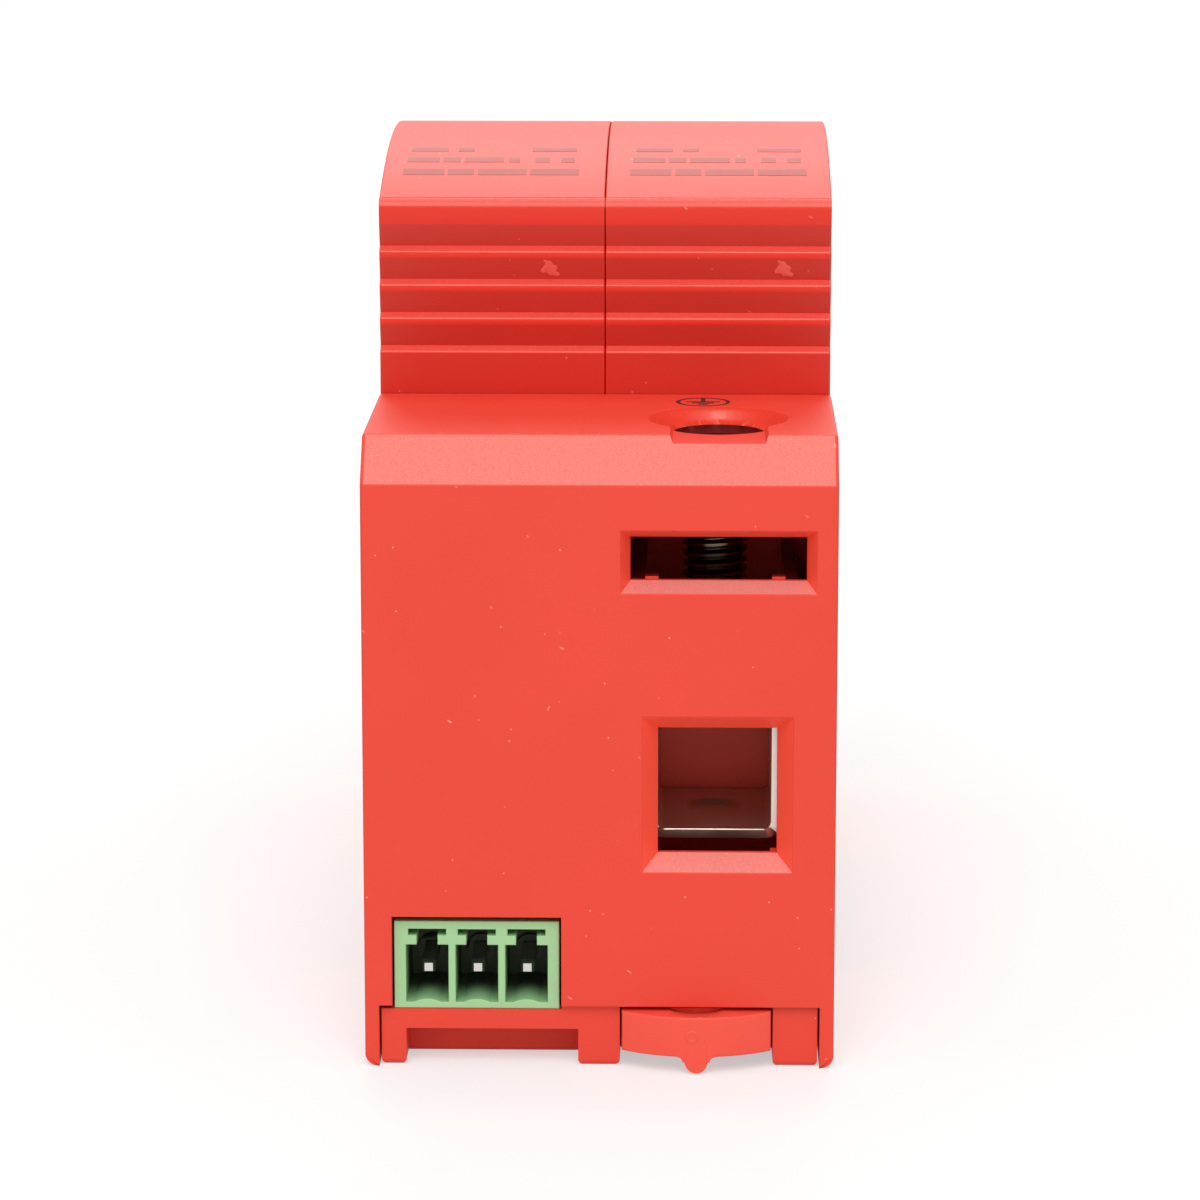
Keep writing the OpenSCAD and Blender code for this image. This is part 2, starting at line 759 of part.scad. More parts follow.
module header_pins()
    color(tin)
        for (pole = [-1:1])
            translate([header_x + pole * pole_pitch, 0, pin_z])
                intersection() {
                    along_x([-pin_w, pin_w])
                        pin_side();
                    translate([0, 0, -pin_w])
                        linear_extrude(2 * pin_w)
                            mirror([1, -1])
                                pin_side();
                }

module signal_board()
    color([0.1, 0.35, 0.2])
        difference() {
            block([header_x - header_w / 2, header_x + header_w / 2], board_y,
                [header_low, board_top]);
            for (pole = [-1:1])
                translate([header_x + pole * pole_pitch, header_back, pin_z])
                    cube([pin_w + 2 * press_gap, drill, pin_w + 2 * press_gap], center = true);
        }

module microswitch()
    color([0.12, 0.12, 0.13])
        difference() {
            block([switch_x, switch_x + switch_w], [board_y[1], board_y[1] + switch_len],
                [switch_low, switch_low + switch_h]);
            block([button_x, button_x + button_w], [pad_y[0] + button_edge, pad_y[1] - button_edge],
                [switch_low - cut, switch_low + button_bore]);
        }

module switch_button()
    color([0.85, 0.82, 0.75])
        block([button_x + play, button_x + button_w - play],
            [pad_y[0] + button_edge + play, pad_y[1] - button_edge - play],
            [pad_z[1] + play, switch_low + button_in]);

module signal_rocker()
    color([0.9, 0.9, 0.88]) {
        translate([arm_x[0], rocker_y, rocker_z])
            rotate([0, 90, 0])
                cylinder(h = mid_x + trip_x + shaft_end - arm_x[0], d = shaft_d);
        block(arm_x, [pad_y[0], rocker_y], pad_z);
        block([arm_x[0], arm_x[0] + pad_w], pad_y, pad_z);
        for (side = [left, right])
            at_plug(side)
                block([trip_x - tail_w / 2, trip_x + tail_w / 2], [rocker_y, trip_y + tail_len],
                    [rocker_z, rocker_z + shaft_d / 2]);
    }

// Current bars and sockets
module bar_shape() {
    along_x([axis_x - bar_w / 2, axis_x + bar_w / 2])
        polygon([[cage_y - bar_end, tongue_z], [cage_y - bar_end, tongue_z + bar_t],
            [-tower_y, tongue_z + bar_t], [-tower_y, bar_top], [lap_half - blade_y, bar_top],
            [lap_half - blade_y, floor_t], [-tower_y - bar_t, floor_t], [-tower_y - bar_t, tongue_z]]);
}

module earth_bar()
    color(copper) {
        bar_shape();
        block([-mid_x - lap_half, axis_x], [-blade_y - lap_half, lap_half - blade_y],
            [floor_t, bar_top]);
    }

module line_bar_left()
    color(copper)
        at_corner(left, rear) bar_shape();

module line_bar_right()
    color(copper)
        at_corner(right, rear) bar_shape();

// Two leaves that pinch a blade
module socket_half() {
    grip = blade_t / 2 + press_gap;
    pinch = socket_top - pinch_down;
    polygon([[-join, bar_top], [socket_w / 2, bar_top], [socket_w / 2, bar_top + knee_up],
        [grip + leaf_t, pinch], [grip + leaf_t + leaf_flare, socket_top - lip_down],
        [grip + leaf_flare, socket_top], [grip, pinch],
        [socket_w / 2 - leaf_t, bar_top + knee_up - lip_down],
        [socket_w / 2 - leaf_t, bar_top + leaf_t], [-join, bar_top + leaf_t]]);
}

module socket_shape(side, end)
    at_plug(side)
        along_y([end * blade_y - blade_w / 2, end * blade_y + blade_w / 2]) {
            socket_half();
            mirror([1, 0]) socket_half();
        }

module earth_socket_left()
    color(tin) socket_shape(left, front);

module earth_socket_right()
    color(tin) socket_shape(right, front);

module line_socket_left()
    color(tin) socket_shape(left, rear);

module line_socket_right()
    color(tin) socket_shape(right, rear);

// Terminal screws and cages
module screw_shape()
    translate([axis_x, axis_y, 0])
        difference() {
            union() {
                translate([0, 0, cage_roof_z + 0.1])
                    cylinder(h = head_z - cage_roof_z, d = screw_d);
                translate([0, 0, head_z])
                    cylinder(h = head_h, d = head_d);
            }
            translate([0, 0, head_z + head_h])
                cube([head_d + cut, slit_w, 2 * slit_h], center = true);
            translate([0, 0, head_z + head_h])
                cube([cross_w, cross_len, 2 * cross_h], center = true);
        }

module earth_screw()
    color(steel) screw_shape();

module line_screw_left()
    color(steel) at_corner(left, rear) screw_shape();

module line_screw_right()
    color(steel) at_corner(right, rear) screw_shape();

module cage_shape() {
    outer_h = cage_roof_z + cage_top_t - cage_floor_z + cage_t;
    inner_h = cage_roof_z - cage_floor_z;
    difference() {
        translate([axis_x, 0, cage_floor_z - cage_t + outer_h / 2])
            along_y([cage_y, cage_y + cage_len])
                soft_square(cage_w, outer_h, cage_t + bend_r);
        translate([axis_x, 0, cage_floor_z + inner_h / 2])
            along_y([cage_y - cut, cage_y + cage_len + cut])
                soft_square(cage_in_w, inner_h, bend_r);
        translate([axis_x, axis_y, cage_roof_z - cut])
            cylinder(h = cage_top_t + 2 * cut, d = screw_d + 2 * press_gap);
        translate([axis_x, axis_y, cage_floor_z - dimple_h])
            cylinder(h = dimple_h + press_gap, d1 = dimple_d - dimple_flare, d2 = dimple_d);
    }
}

module earth_cage()
    color(steel) cage_shape();

module line_cage_left()
    color(steel) at_corner(left, rear) cage_shape();

module line_cage_right()
    color(steel) at_corner(right, rear) cage_shape();

// Plugs
module arch_disc(inset)
    translate([0, arch_c])
        circle(arch_r - inset, $fn = 256);

module grip_notch(z)
    polygon([[-plug_y - cut, z + grip_slope], [-plug_y, z + grip_slope], [grip_depth - plug_y, z],
        [-plug_y, z - grip_ledge], [-plug_y - cut, z - grip_ledge]]);

module plug_profile()
    difference() {
        intersection() {
            translate([-plug_y, plug_low])
                square([2 * plug_y, crest_z - plug_low + cut]);
            arch_disc(0);
        }
        for (side = [0, 1])
            mirror([side, 0]) {
                difference() {
                    translate([-plug_y - cut, edge_z])
                        square([edge_r + cut, arch_rise + cut]);
                    translate([-edge_y, edge_z])
                        circle(edge_r);
                }
                for (i = [0:3])
                    grip_notch(grip_z - i * grip_pitch);
            }
    }

module plug_cap_shape()
    difference() {
        along_x([-plug_w / 2, plug_w / 2])
            plug_profile();
        along_x([-cap_x, cap_x])
            intersection() {
                translate([-cap_y, plug_low - cut])
                    square([2 * cap_y, crest_z]);
                arch_disc(plug_top);
            }
        for (side = [0, 1])
            mirror([0, side, 0])
                block([-guide_w / 2 - play, guide_w / 2 + play], [-plug_y - cut, guide_d + play - plug_y],
                    [plug_low - cut, shoulder_z - guide_drop + guide_d]);
        block([-window_w / 2, window_w / 2], [window_mid - window_len / 2, window_mid + window_len / 2],
            [flag_z, crest_z + cut]);
    }

module plug_floor_shape()
    difference() {
        union() {
            block([press_gap - cap_x, cap_x - press_gap], [press_gap - cap_y, cap_y - press_gap],
                [plug_low, plate_z]);
            for (y = [-rest_y, rest_y])
                block([block_l, block_r], [y - rib_t, y + rib_t], [plate_z - join, block_low]);
        }
        for (y = [-blade_y, blade_y])
            translate([0, y, plug_low])
                cube([blade_t + 2 * press_gap, blade_w + 2 * press_gap, drill], center = true);
        translate([trip_x, trip_y, plug_low - cut])
            cylinder(h = plate_z - plug_low + 2 * cut, r = trip_r + play);
    }

module varistor_shape()
    translate([0, 0, block_low + varistor_s / 2])
        along_x([block_l, block_r])
            soft_square(varistor_s, varistor_s, block_corner);

module earth_blade_shape()
    along_y([-blade_y - blade_w / 2, blade_w / 2 - blade_y])
        polygon([[-blade_t / 2, blade_tip], [blade_t / 2, blade_tip], [blade_t / 2, jog_z + blade_t],
            [block_l, jog_z + blade_t], [block_l, block_low + earth_lap],
            [block_l - blade_t, block_low + earth_lap], [block_l - blade_t, jog_z],
            [-blade_t / 2, jog_z]]);

module line_blade_shape()
    along_y([blade_y - blade_w / 2, blade_y + blade_w / 2])
        polygon([[-blade_t / 2, blade_tip], [blade_t / 2, blade_tip], [blade_t / 2, jog_z],
            [block_r + strap_t + blade_t, jog_z], [block_r + strap_t + blade_t, strap_z[1]],
            [block_r + strap_t, strap_z[1]], [block_r + strap_t, jog_z + blade_t],
            [-blade_t / 2, jog_z + blade_t]]);

module solder_strap_shape()
    block([block_r, block_r + strap_t], [-strap_back, blade_y + blade_w / 2], strap_z);

module trip_slider_shape() {
    block(slider_x, [trip_y - slider_len / 2, trip_y + slider_len / 2], [slider_low, flag_z]);
    block(slider_x, [coil_y - ledge_end, trip_y], [coil_z - ledge_t, coil_z]);
    block([-window_w / 2 - flag_side, slider_x[1]],
        [trip_y + flag_t, window_mid + window_len / 2 + flag_end], [flag_z - flag_t, flag_z]);
    translate([trip_x, trip_y, rod_end])
        cylinder(h = slider_low - rod_end + slider_lap, r = trip_r);
}

module trip_spring_shape()
    translate([trip_x, coil_y, coil_z])
        coil(trip_coil_r, trip_wire, coil_top - coil_z, 8);

module status_window_shape()
    intersection() {
        along_x([press_gap - window_w / 2, window_w / 2 - press_gap])
            difference() {
                arch_disc(press_gap);
                arch_disc(plug_top);
            }
        block([-window_w, window_w], [window_mid - window_len / 2 + press_gap,
            window_mid + window_len / 2 - press_gap], [flag_z, crest_z + cut]);
    }

module plug_cap_left() color(red) at_plug(left) plug_cap_shape();
module plug_cap_right() color(red) at_plug(right) plug_cap_shape();
module plug_floor_left() color(red) at_plug(left) plug_floor_shape();
module plug_floor_right() color(red) at_plug(right) plug_floor_shape();
module varistor_left() color([0.1, 0.12, 0.2]) at_plug(left) varistor_shape();
module varistor_right() color([0.1, 0.12, 0.2]) at_plug(right) varistor_shape();
module earth_blade_left() color(tin) at_plug(left) earth_blade_shape();
module earth_blade_right() color(tin) at_plug(right) earth_blade_shape();
module line_blade_left() color(tin) at_plug(left) line_blade_shape();
module line_blade_right() color(tin) at_plug(right) line_blade_shape();
module solder_strap_left() color(copper) at_plug(left) solder_strap_shape();
module solder_strap_right() color(copper) at_plug(right) solder_strap_shape();
module trip_slider_left() color([0.2, 0.6, 0.25]) at_plug(left) trip_slider_shape();
module trip_slider_right() color([0.2, 0.6, 0.25]) at_plug(right) trip_slider_shape();
module trip_spring_left() color(steel) at_plug(left) trip_spring_shape();
module trip_spring_right() color(steel) at_plug(right) trip_spring_shape();
module status_window_left() color([0.85, 0.9, 0.9]) at_plug(left) status_window_shape();
module status_window_right() color([0.85, 0.9, 0.9]) at_plug(right) status_window_shape();

base_housing();
rail_base();
rail_latch();
latch_spring();
signal_header();
header_pins();
signal_board();
microswitch();
switch_button();
signal_rocker();
earth_bar();
line_bar_left();
line_bar_right();
earth_socket_left();
earth_socket_right();
line_socket_left();
line_socket_right();
earth_screw();
line_screw_left();
line_screw_right();
earth_cage();
line_cage_left();
line_cage_right();
plug_cap_left();
plug_floor_left();
varistor_left();
earth_blade_left();
line_blade_left();
solder_strap_left();
trip_slider_left();
trip_spring_left();
status_window_left();
plug_cap_right();
plug_floor_right();
varistor_right();
earth_blade_right();
line_blade_right();
solder_strap_right();
trip_slider_right();
trip_spring_right();
status_window_right();
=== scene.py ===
"""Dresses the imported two-module surge arrester: moulded edges, threads, print, materials and studio."""

import json
import math

import bmesh
import bpy
from mathutils import Matrix, Vector

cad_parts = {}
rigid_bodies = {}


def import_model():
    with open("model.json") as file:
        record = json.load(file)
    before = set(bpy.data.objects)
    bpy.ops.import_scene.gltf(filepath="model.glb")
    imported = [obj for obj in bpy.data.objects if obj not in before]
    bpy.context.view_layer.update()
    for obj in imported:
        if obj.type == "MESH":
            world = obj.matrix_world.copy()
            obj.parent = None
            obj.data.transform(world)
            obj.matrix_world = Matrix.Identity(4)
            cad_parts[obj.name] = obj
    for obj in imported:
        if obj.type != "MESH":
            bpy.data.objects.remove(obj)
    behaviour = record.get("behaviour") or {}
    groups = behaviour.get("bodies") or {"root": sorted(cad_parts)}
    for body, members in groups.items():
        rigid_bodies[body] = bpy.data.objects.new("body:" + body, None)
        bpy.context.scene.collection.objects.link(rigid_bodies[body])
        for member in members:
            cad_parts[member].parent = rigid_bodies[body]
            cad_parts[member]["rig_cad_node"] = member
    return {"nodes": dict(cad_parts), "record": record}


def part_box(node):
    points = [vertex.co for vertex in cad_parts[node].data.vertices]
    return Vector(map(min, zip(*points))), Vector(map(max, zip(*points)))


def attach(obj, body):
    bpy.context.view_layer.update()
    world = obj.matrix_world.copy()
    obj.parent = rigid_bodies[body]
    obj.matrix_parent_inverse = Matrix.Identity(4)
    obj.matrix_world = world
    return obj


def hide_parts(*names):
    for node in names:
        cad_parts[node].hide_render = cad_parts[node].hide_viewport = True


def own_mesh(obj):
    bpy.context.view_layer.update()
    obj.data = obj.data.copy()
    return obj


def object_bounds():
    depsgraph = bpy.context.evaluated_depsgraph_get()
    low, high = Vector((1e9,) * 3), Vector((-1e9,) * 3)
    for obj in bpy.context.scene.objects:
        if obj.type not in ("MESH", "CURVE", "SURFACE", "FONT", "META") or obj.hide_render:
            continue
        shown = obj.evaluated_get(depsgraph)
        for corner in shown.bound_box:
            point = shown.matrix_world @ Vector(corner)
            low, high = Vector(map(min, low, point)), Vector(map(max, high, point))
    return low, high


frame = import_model()
CAD_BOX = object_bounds()

bl_info = {
    "name": "Surge arrester finish",
    "version": (1, 0, 0),
    "blender": (4, 5, 0),
    "location": "3D View > Sidebar > Arrester",
    "description": "Finishes the packed surge arrester with moulded edges, threads, print and materials",
    "category": "Object",
}

MM = 0.001
SIDES = ("left", "right")
TERMINALS = ("earth_{}", "line_{}_left", "line_{}_right")
# Materials by finish, made once
STORE = {}

# Shapes of the CAD model that the finish follows, in mm
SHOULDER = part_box("base_housing")[1].z / MM  # height of the shoulders
NEAR = 0.05  # a point this close to a face lies on it
NUB_TOP = 33.475  # top of the nubs at the foot of the slots
NUB_SETBACK = 1.5  # the nubs lie further in from the ends than this
CHAMFER = (4.5, 6.0)  # the chamfers lie this close to the ends and to the top
MOUTH = (1.0, 2.4)  # the bevelled mouths lie inside the sides by this, and this close to the ends
HOLLOW = (1.5, 2.4, 1.4)  # the hollow lies inside the sides, the ends and the top by these
WHOLE_FACE = 2.0  # faces smaller than this, in square mm, belong to a rounded edge
FLARE_EDGE = (5.6, 1.1)  # reach of a flare from the axis of its screw, and depth of its foot
FLARE_ZONE = (5.8, 1.8)  # the same with the rounding
TOWER_START = 24.0  # where the terminal towers begin along Y
CHAMBER_FLOOR = 29.0  # height from which the slots show the screw chambers
LATCH_FRONT = 2.4  # length of the front of the latch that shows
BAY_TOP = SHOULDER + 0.5  # height from which a plug stands free of the base
ARCH_RISE = 3.9  # rise of the arched top of a plug
ARCH_STEP = (0.81, 0.53)  # a hair-wide step of the CAD arch lies between these distances from a plug's end
ARCH_STEP_FOOT = SHOULDER + 15  # and above this height
ARCH_FOOT = SHOULDER + 13  # the faces of a plug's arched top lie above this height
GRIPS = (SHOULDER + 1, SHOULDER + 16)  # lowest and highest place of the grips
# The ends under the grips take painted shade and a slightly smoother grain
LAND_TOP = SHOULDER + 3  # the smooth ends under the grips lie below this height
LAND_DEPTH = 0.2  # and this close to the end of a plug
FACING = 0.2  # points this close to the middle belong to the facing walls of the plugs
SHANK_RADIUS = 2.5  # shank of a terminal screw
HEAD_HEIGHT = 3.4  # head of a terminal screw
HEAD_RIM = 4.0  # the rim of the head lies further from the axis than this
SHEET = 0.9  # just over the thickness of a cage's sheet
SHEET_FOOT = 0.4  # the lower rim of a cage's front edge lies below this height in the cage
ON_FACE = 0.01  # a point this close to a face lies in it, where other faces are near

# Edges that turn by more than this are sharp, in degrees, and are rounded if longer than so many widths
SHARP_ANGLE = 28
LONG_EDGE = 1.5


def linear(code):
    """Linear RGBA of an sRGB hex colour."""
    values = [int(code[i : i + 2], 16) / 255 for i in (1, 3, 5)]
    values = [v / 12.92 if v <= 0.04045 else ((v + 0.055) / 1.055) ** 2.4 for v in values]
    return (*values, 1.0)


def colour_setting(name, description, code):
    """A colour that a user may change, given as sRGB hex."""
    return bpy.props.FloatVectorProperty(
        name=name, description=description, default=linear(code), size=4, subtype="COLOR", min=0, max=1
    )


def length_setting(name, description, millimetres):
    """A length that a user may change, given in millimetres."""
    return bpy.props.FloatProperty(
        name=name, description=description, default=millimetres * MM, min=0, unit="LENGTH", precision=5
    )


class ArresterSizes(bpy.types.PropertyGroup):
    """Sizes of the finish"""

    skin_edge: length_setting("Housing edge", "Rounding of the housing's side edges", 0.28)
    rim_edge: length_setting("Rim edge", "Rounding of the end faces' crisp edges", 0.08)
    flare_edge: length_setting("Flare edge", "Rounding of the rims of the screwdriver holes", 0.45)
    nub_drop: length_setting("Nub drop", "How far the nubs at the foot of the slots are ground down", 0.2)
    foot_edge: length_setting("Foot edge", "Rounding of the undersides of the feet", 0.4)
    plug_edge: length_setting("Plug edge", "Rounding of the plugs' edges", 0.14)
    plug_gap: length_setting("Plug gap", "Gap that shows between the two plugs", 0.06)
    latch_edge: length_setting("Latch edge", "Rounding of the rail latch's edges", 0.16)
    header_edge: length_setting("Header edge", "Rounding of the header's edges", 0.08)
    sheet_edge: length_setting("Sheet edge", "Rounding of the cages' sheared edges", 0.1)
    shear_tilt: length_setting("Shear tilt", "Set-back of the lower rim of a cage's sheared front edge", 0.3)
    head_edge: length_setting("Head edge", "Rounding of the screw heads", 0.25)
    thread_pitch: length_setting("Thread pitch", "Pitch of the terminal screws", 0.8)
    thread_depth: length_setting("Thread depth", "Depth of the terminal screws' thread", 0.42)
    print_height: length_setting("Print height", "Thickness of the printed ink", 0.02)
    sign_width: length_setting("Earth sign", "Diameter of the printed earth sign", 4.3)


class ArresterColours(bpy.types.PropertyGroup):
    """Colours of the finish"""

    base_red: colour_setting("Base red", "Moulded base and rail base", "#E63E2D")
    # Painted shade: the walls of the screw chambers take a darker red than the base they are moulded in
    chamber_shade_red: colour_setting(
        "Chamber red", "Walls of the screw chambers, which little light reaches", "#7C1614"
    )
    # Painted light: the sideways and downward bevels round the entries and slots take a paler red that stands
    # for light falling on them
    bevel_lit_red: colour_setting("Bevel red", "Polished bevels round the cable entries and slots", "#FF5540")
    plug_red: colour_setting("Plug red", "Moulded plugs", "#E22A18")
    # Painted shade: the plugs' lowest ends take a darker red than the plugs, and their grain is only a little
    # smoother
    land_shade_red: colour_setting("Land red", "Smooth ends of the plugs under the grips", "#CE2111")
    # Painted shade: the grip grooves face downward, and their darker red stands for the shade on them
    groove_shade_red: colour_setting("Groove red", "Grip grooves of the plugs, darkened by handling", "#C72E23")
    latch_red: colour_setting("Latch red", "Moulded rail latch", "#F2503F")
    header_green: colour_setting("Header green", "Moulded signal header", "#A6D69D")
    flag_green: colour_setting("Flag green", "Status flag", "#2E9B3C")
    zinc: colour_setting("Zinc", "Plated steel of the cages", "#CFC8BA")
    sheared: colour_setting("Sheared steel", "Bright sheared edges of the cages", "#F2EBE3")
    tin: colour_setting("Tin", "Plated pins, blades and sockets", "#D8D8D2")
    copper: colour_setting("Copper", "Current bars and straps", "#C98A63")
    # Yellow zinc given darker than the metal is, as painted shade for the screws down in their slots
    screw_zinc_and_shade: colour_setting("Screw zinc", "Yellow passivated zinc of the terminal screws", "#7F7562")
    scuff: colour_setting("Scuffs", "Dust, scuffs and stress-whitened spots of the red mouldings", "#F3B7AB")
    ink: colour_setting("Ink", "Printed sign and marks", "#241716")
    torn: colour_setting("Torn plastic", "Rough marks that the mould's gates leave", "#E65A4B")
    faded_ink: colour_setting("Faded ink", "Thin pad print on the plugs", "#AE3228")
    floor: colour_setting("Floor", "Studio floor", "#F6F6F5")


def sizes():
    return bpy.context.scene.arrester_sizes


def colours():
    return bpy.context.scene.arrester_colours


# Making pieces


def only(piece):
    """Selects one object alone and makes it active."""
    bpy.ops.object.select_all(action="DESELECT")
    piece.select_set(True)
    bpy.context.view_layer.objects.active = piece


def cad_copy(node, name):
    """A copy of a CAD node's mesh with its loose triangles merged into whole faces."""
    source = frame["nodes"][node]
    piece = source.copy()
    piece.data = source.data.copy()
    piece.name = name
    piece.parent = None
    piece.matrix_world = Matrix.Identity(4)
    del piece["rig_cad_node"]
    piece.data.materials.clear()
    bpy.context.scene.collection.objects.link(piece)
    only(piece)
    bpy.ops.object.mode_set(mode="EDIT")
    bpy.ops.mesh.select_all(action="SELECT")
    bpy.ops.mesh.remove_doubles(threshold=0.002 * MM)
    bpy.ops.mesh.dissolve_limited(angle_limit=math.radians(0.3))
    bpy.ops.object.mode_set(mode="OBJECT")
    return piece


def soften(piece, width, test, segments=5):
    """Rounds the sharp outward edges whose middle passes the test."""
    only(piece)
    bpy.ops.object.mode_set(mode="EDIT")
    bpy.ops.mesh.select_mode(type="EDGE")
    bpy.ops.mesh.select_all(action="DESELECT")
    mesh = bmesh.from_edit_mesh(piece.data)
    for edge in mesh.edges:
        if len(edge.link_faces) != 2 or edge.calc_length() < LONG_EDGE * width:
            continue
        sharp = edge.calc_face_angle_signed() > math.radians(SHARP_ANGLE)
        edge.select = sharp and test((edge.verts[0].co + edge.verts[1].co) / (2 * MM))
    mesh.select_flush_mode()
    bmesh.update_edit_mesh(piece.data)
    bpy.ops.mesh.bevel(
        offset=width, offset_type="OFFSET", segments=segments, affect="EDGES", clamp_overlap=False
    )
    bpy.ops.object.mode_set(mode="OBJECT")


def complete(piece, body, slot, material, *nodes, smooth=16, blend=None):
    """Smooths a piece below an angle in degrees, gives it its material and fixes it to the frame.
    Large faces keep their own normals, so that flat walls stay flat beside rounded edges."""
    only(piece)
    bpy.ops.object.shade_smooth_by_angle(angle=math.radians(smooth))
    if blend:
        blend(piece)
    flat = piece.modifiers.new("flat_walls", "WEIGHTED_NORMAL")
    flat.keep_sharp = True
    flat.weight = 90
    bpy.ops.object.modifier_apply(modifier="flat_walls")
    if not piece.data.materials:
        piece.data.materials.append(material)
    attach(piece, body)
    if nodes:
        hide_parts(*nodes)


def body_of_node(node):
    """The body that carries a CAD node."""
    bodies = frame["record"]["behaviour"]["bodies"]
    return next(body for body, nodes in bodies.items() if node in nodes)


# Materials


def add_node(tree, kind, settings=None, **inputs):
    """Adds a node with its settings, and sets or links its inputs by name, or by number as in i0."""
    node = tree.nodes.new(kind)
    for key, value in (settings or {}).items():
        setattr(node, key, value)
    for key, value in inputs.items():
        by_number = key[0] == "i" and key[1:].isdigit()
        socket = node.inputs[int(key[1:]) if by_number else key.replace("_", " ")]
        if isinstance(value, bpy.types.NodeSocket):
            tree.links.new(value, socket)
        else:
            socket.default_value = value
    return node


def new_material(name):
    """An empty node material, with its tree and its surface socket."""
    material = bpy.data.materials.new(name)
    material.use_nodes = True
    tree = material.node_tree
    tree.nodes.clear()
    out = add_node(tree, "ShaderNodeOutputMaterial")
    return material, tree, out.inputs["Surface"]


# Layers of dust and scuffs: spacing in mm, how many times longer than wide, turn, share left out, size
SCUFFS = (
    (2.2, 1.0, 0.0, 0.95, 0.022),
    (4.5, 7.0, 0.8, 0.96, 0.07),
    (5.0, 8.0, 2.3, 0.97, 0.07),
    (4.0, 6.0, -0.7, 0.97, 0.07),
)
# Width in mm of the cloudy patches of a moulding, of a plated skin and of a clear window
MOULD_CLOUD = 14.0
PLATE_CLOUD = 2.5
CLEAR_CLOUD = 1.2
# Colour to which the tips of a coarse grain whiten: partly the real whitening of the grain, partly painted
# sheen of the overhead light
FROST_AND_SHEEN = "#FFDAD2"


def moulded_plastic(name, colour, grain, depth, roughness, specks=0.0, frost_and_sheen=0.0, painted_shade=None):
    """Moulded thermoplastic: a spark-eroded tool leaves a dull grain that breaks up the gloss.
    grain is its width in mm, drawn about twice too coarse so that it shows, and depth its height in mm.
    specks is how pale the dust and hair-fine scuffs are, and frost_and_sheen how far the tips of a coarse
    grain whiten, partly as real whitening and partly as painted sheen.
    painted_shade holds the two places along Y, in mm, between which painted shade darkens the walls of a deep
    chamber inwards."""
    material, tree, surface = new_material(name)
    place = add_node(tree, "ShaderNodeTexCoord").outputs["Object"]
    fine = add_node(
        tree, "ShaderNodeTexNoise", Vector=place, Scale=1 / (grain * MM), Detail=2.0, Roughness=0.6
    )
    cloud = add_node(tree, "ShaderNodeTexNoise", Vector=place, Scale=1 / (MOULD_CLOUD * MM), Detail=3.0)
    shade = add_node(tree, "ShaderNodeMapRange", Value=cloud.outputs["Fac"], To_Min=0.95, To_Max=1.05)
    tone = add_node(
        tree, "ShaderNodeMix", {"data_type": "RGBA", "blend_type": "MULTIPLY"}, i0=1.0, i6=colour,
        i7=shade.outputs["Result"],
    ).outputs[2]
    # Paler grain tips: partly the grain's own whitening, partly painted sheen
    if frost_and_sheen:
        tips = add_node(
            tree, "ShaderNodeMapRange", Value=fine.outputs["Fac"], From_Min=0.2, From_Max=0.8,
            To_Min=0.4 * frost_and_sheen, To_Max=1.3 * frost_and_sheen,
        )
        tone = add_node(
            tree, "ShaderNodeMix", {"data_type": "RGBA"}, i0=tips.outputs["Result"], i6=tone, i7=linear(FROST_AND_SHEEN)
        ).outputs[2]
    if specks:
        for pitch, stretch, turn, share, size in SCUFFS:
            turned = add_node(
                tree, "ShaderNodeMapping", {"vector_type": "TEXTURE"}, Vector=place,
                Rotation=(turn, turn, turn), Scale=(pitch * MM / stretch, pitch * MM, pitch * MM / stretch),
            )
            dust = add_node(tree, "ShaderNodeTexVoronoi", Vector=turned.outputs["Vector"], Scale=1.0)
            spot = add_node(
                tree, "ShaderNodeMapRange", Value=dust.outputs["Distance"], From_Min=2 * size,
                From_Max=size, To_Max=specks,
            )
            pick = add_node(tree, "ShaderNodeSeparateColor", Color=dust.outputs["Color"])
            rare = add_node(
                tree, "ShaderNodeMath", {"operation": "GREATER_THAN"}, i0=pick.outputs["Red"], i1=share
            )
            seen = add_node(
                tree, "ShaderNodeMath", {"operation": "MULTIPLY"}, i0=spot.outputs["Result"],
                i1=rare.outputs[0],
            )
            tone = add_node(
                tree, "ShaderNodeMix", {"data_type": "RGBA"}, i0=seen.outputs[0], i6=tone, i7=colours().scuff
            ).outputs[2]
    # Painted shade: the tone darkens along Y into a deep chamber
    if painted_shade:
        along = add_node(tree, "ShaderNodeSeparateXYZ", Vector=place).outputs["Y"]
        deep = add_node(
            tree, "ShaderNodeMapRange", Value=along, From_Min=painted_shade[0] * MM, From_Max=painted_shade[1] * MM,
            To_Min=1.0, To_Max=0.12,
        )
        tone = add_node(
            tree, "ShaderNodeMix", {"data_type": "RGBA", "blend_type": "MULTIPLY"}, i0=1.0, i6=tone,
            i7=deep.outputs["Result"],
        ).outputs[2]
    gloss = add_node(
        tree, "ShaderNodeMapRange", Value=fine.outputs["Fac"], To_Min=roughness - 0.06,
        To_Max=roughness + 0.08,
    )
    bump = add_node(tree, "ShaderNodeBump", Strength=0.7, Distance=depth * MM, Height=fine.outputs["Fac"])
    shader = add_node(
        tree, "ShaderNodeBsdfPrincipled", IOR=1.53, Base_Color=tone, Roughness=gloss.outputs["Result"],
        Normal=bump.outputs["Normal"], Specular_Tint=(1.0, 0.92, 0.78, 1.0),
    )
    tree.links.new(shader.outputs["BSDF"], surface)
    return material


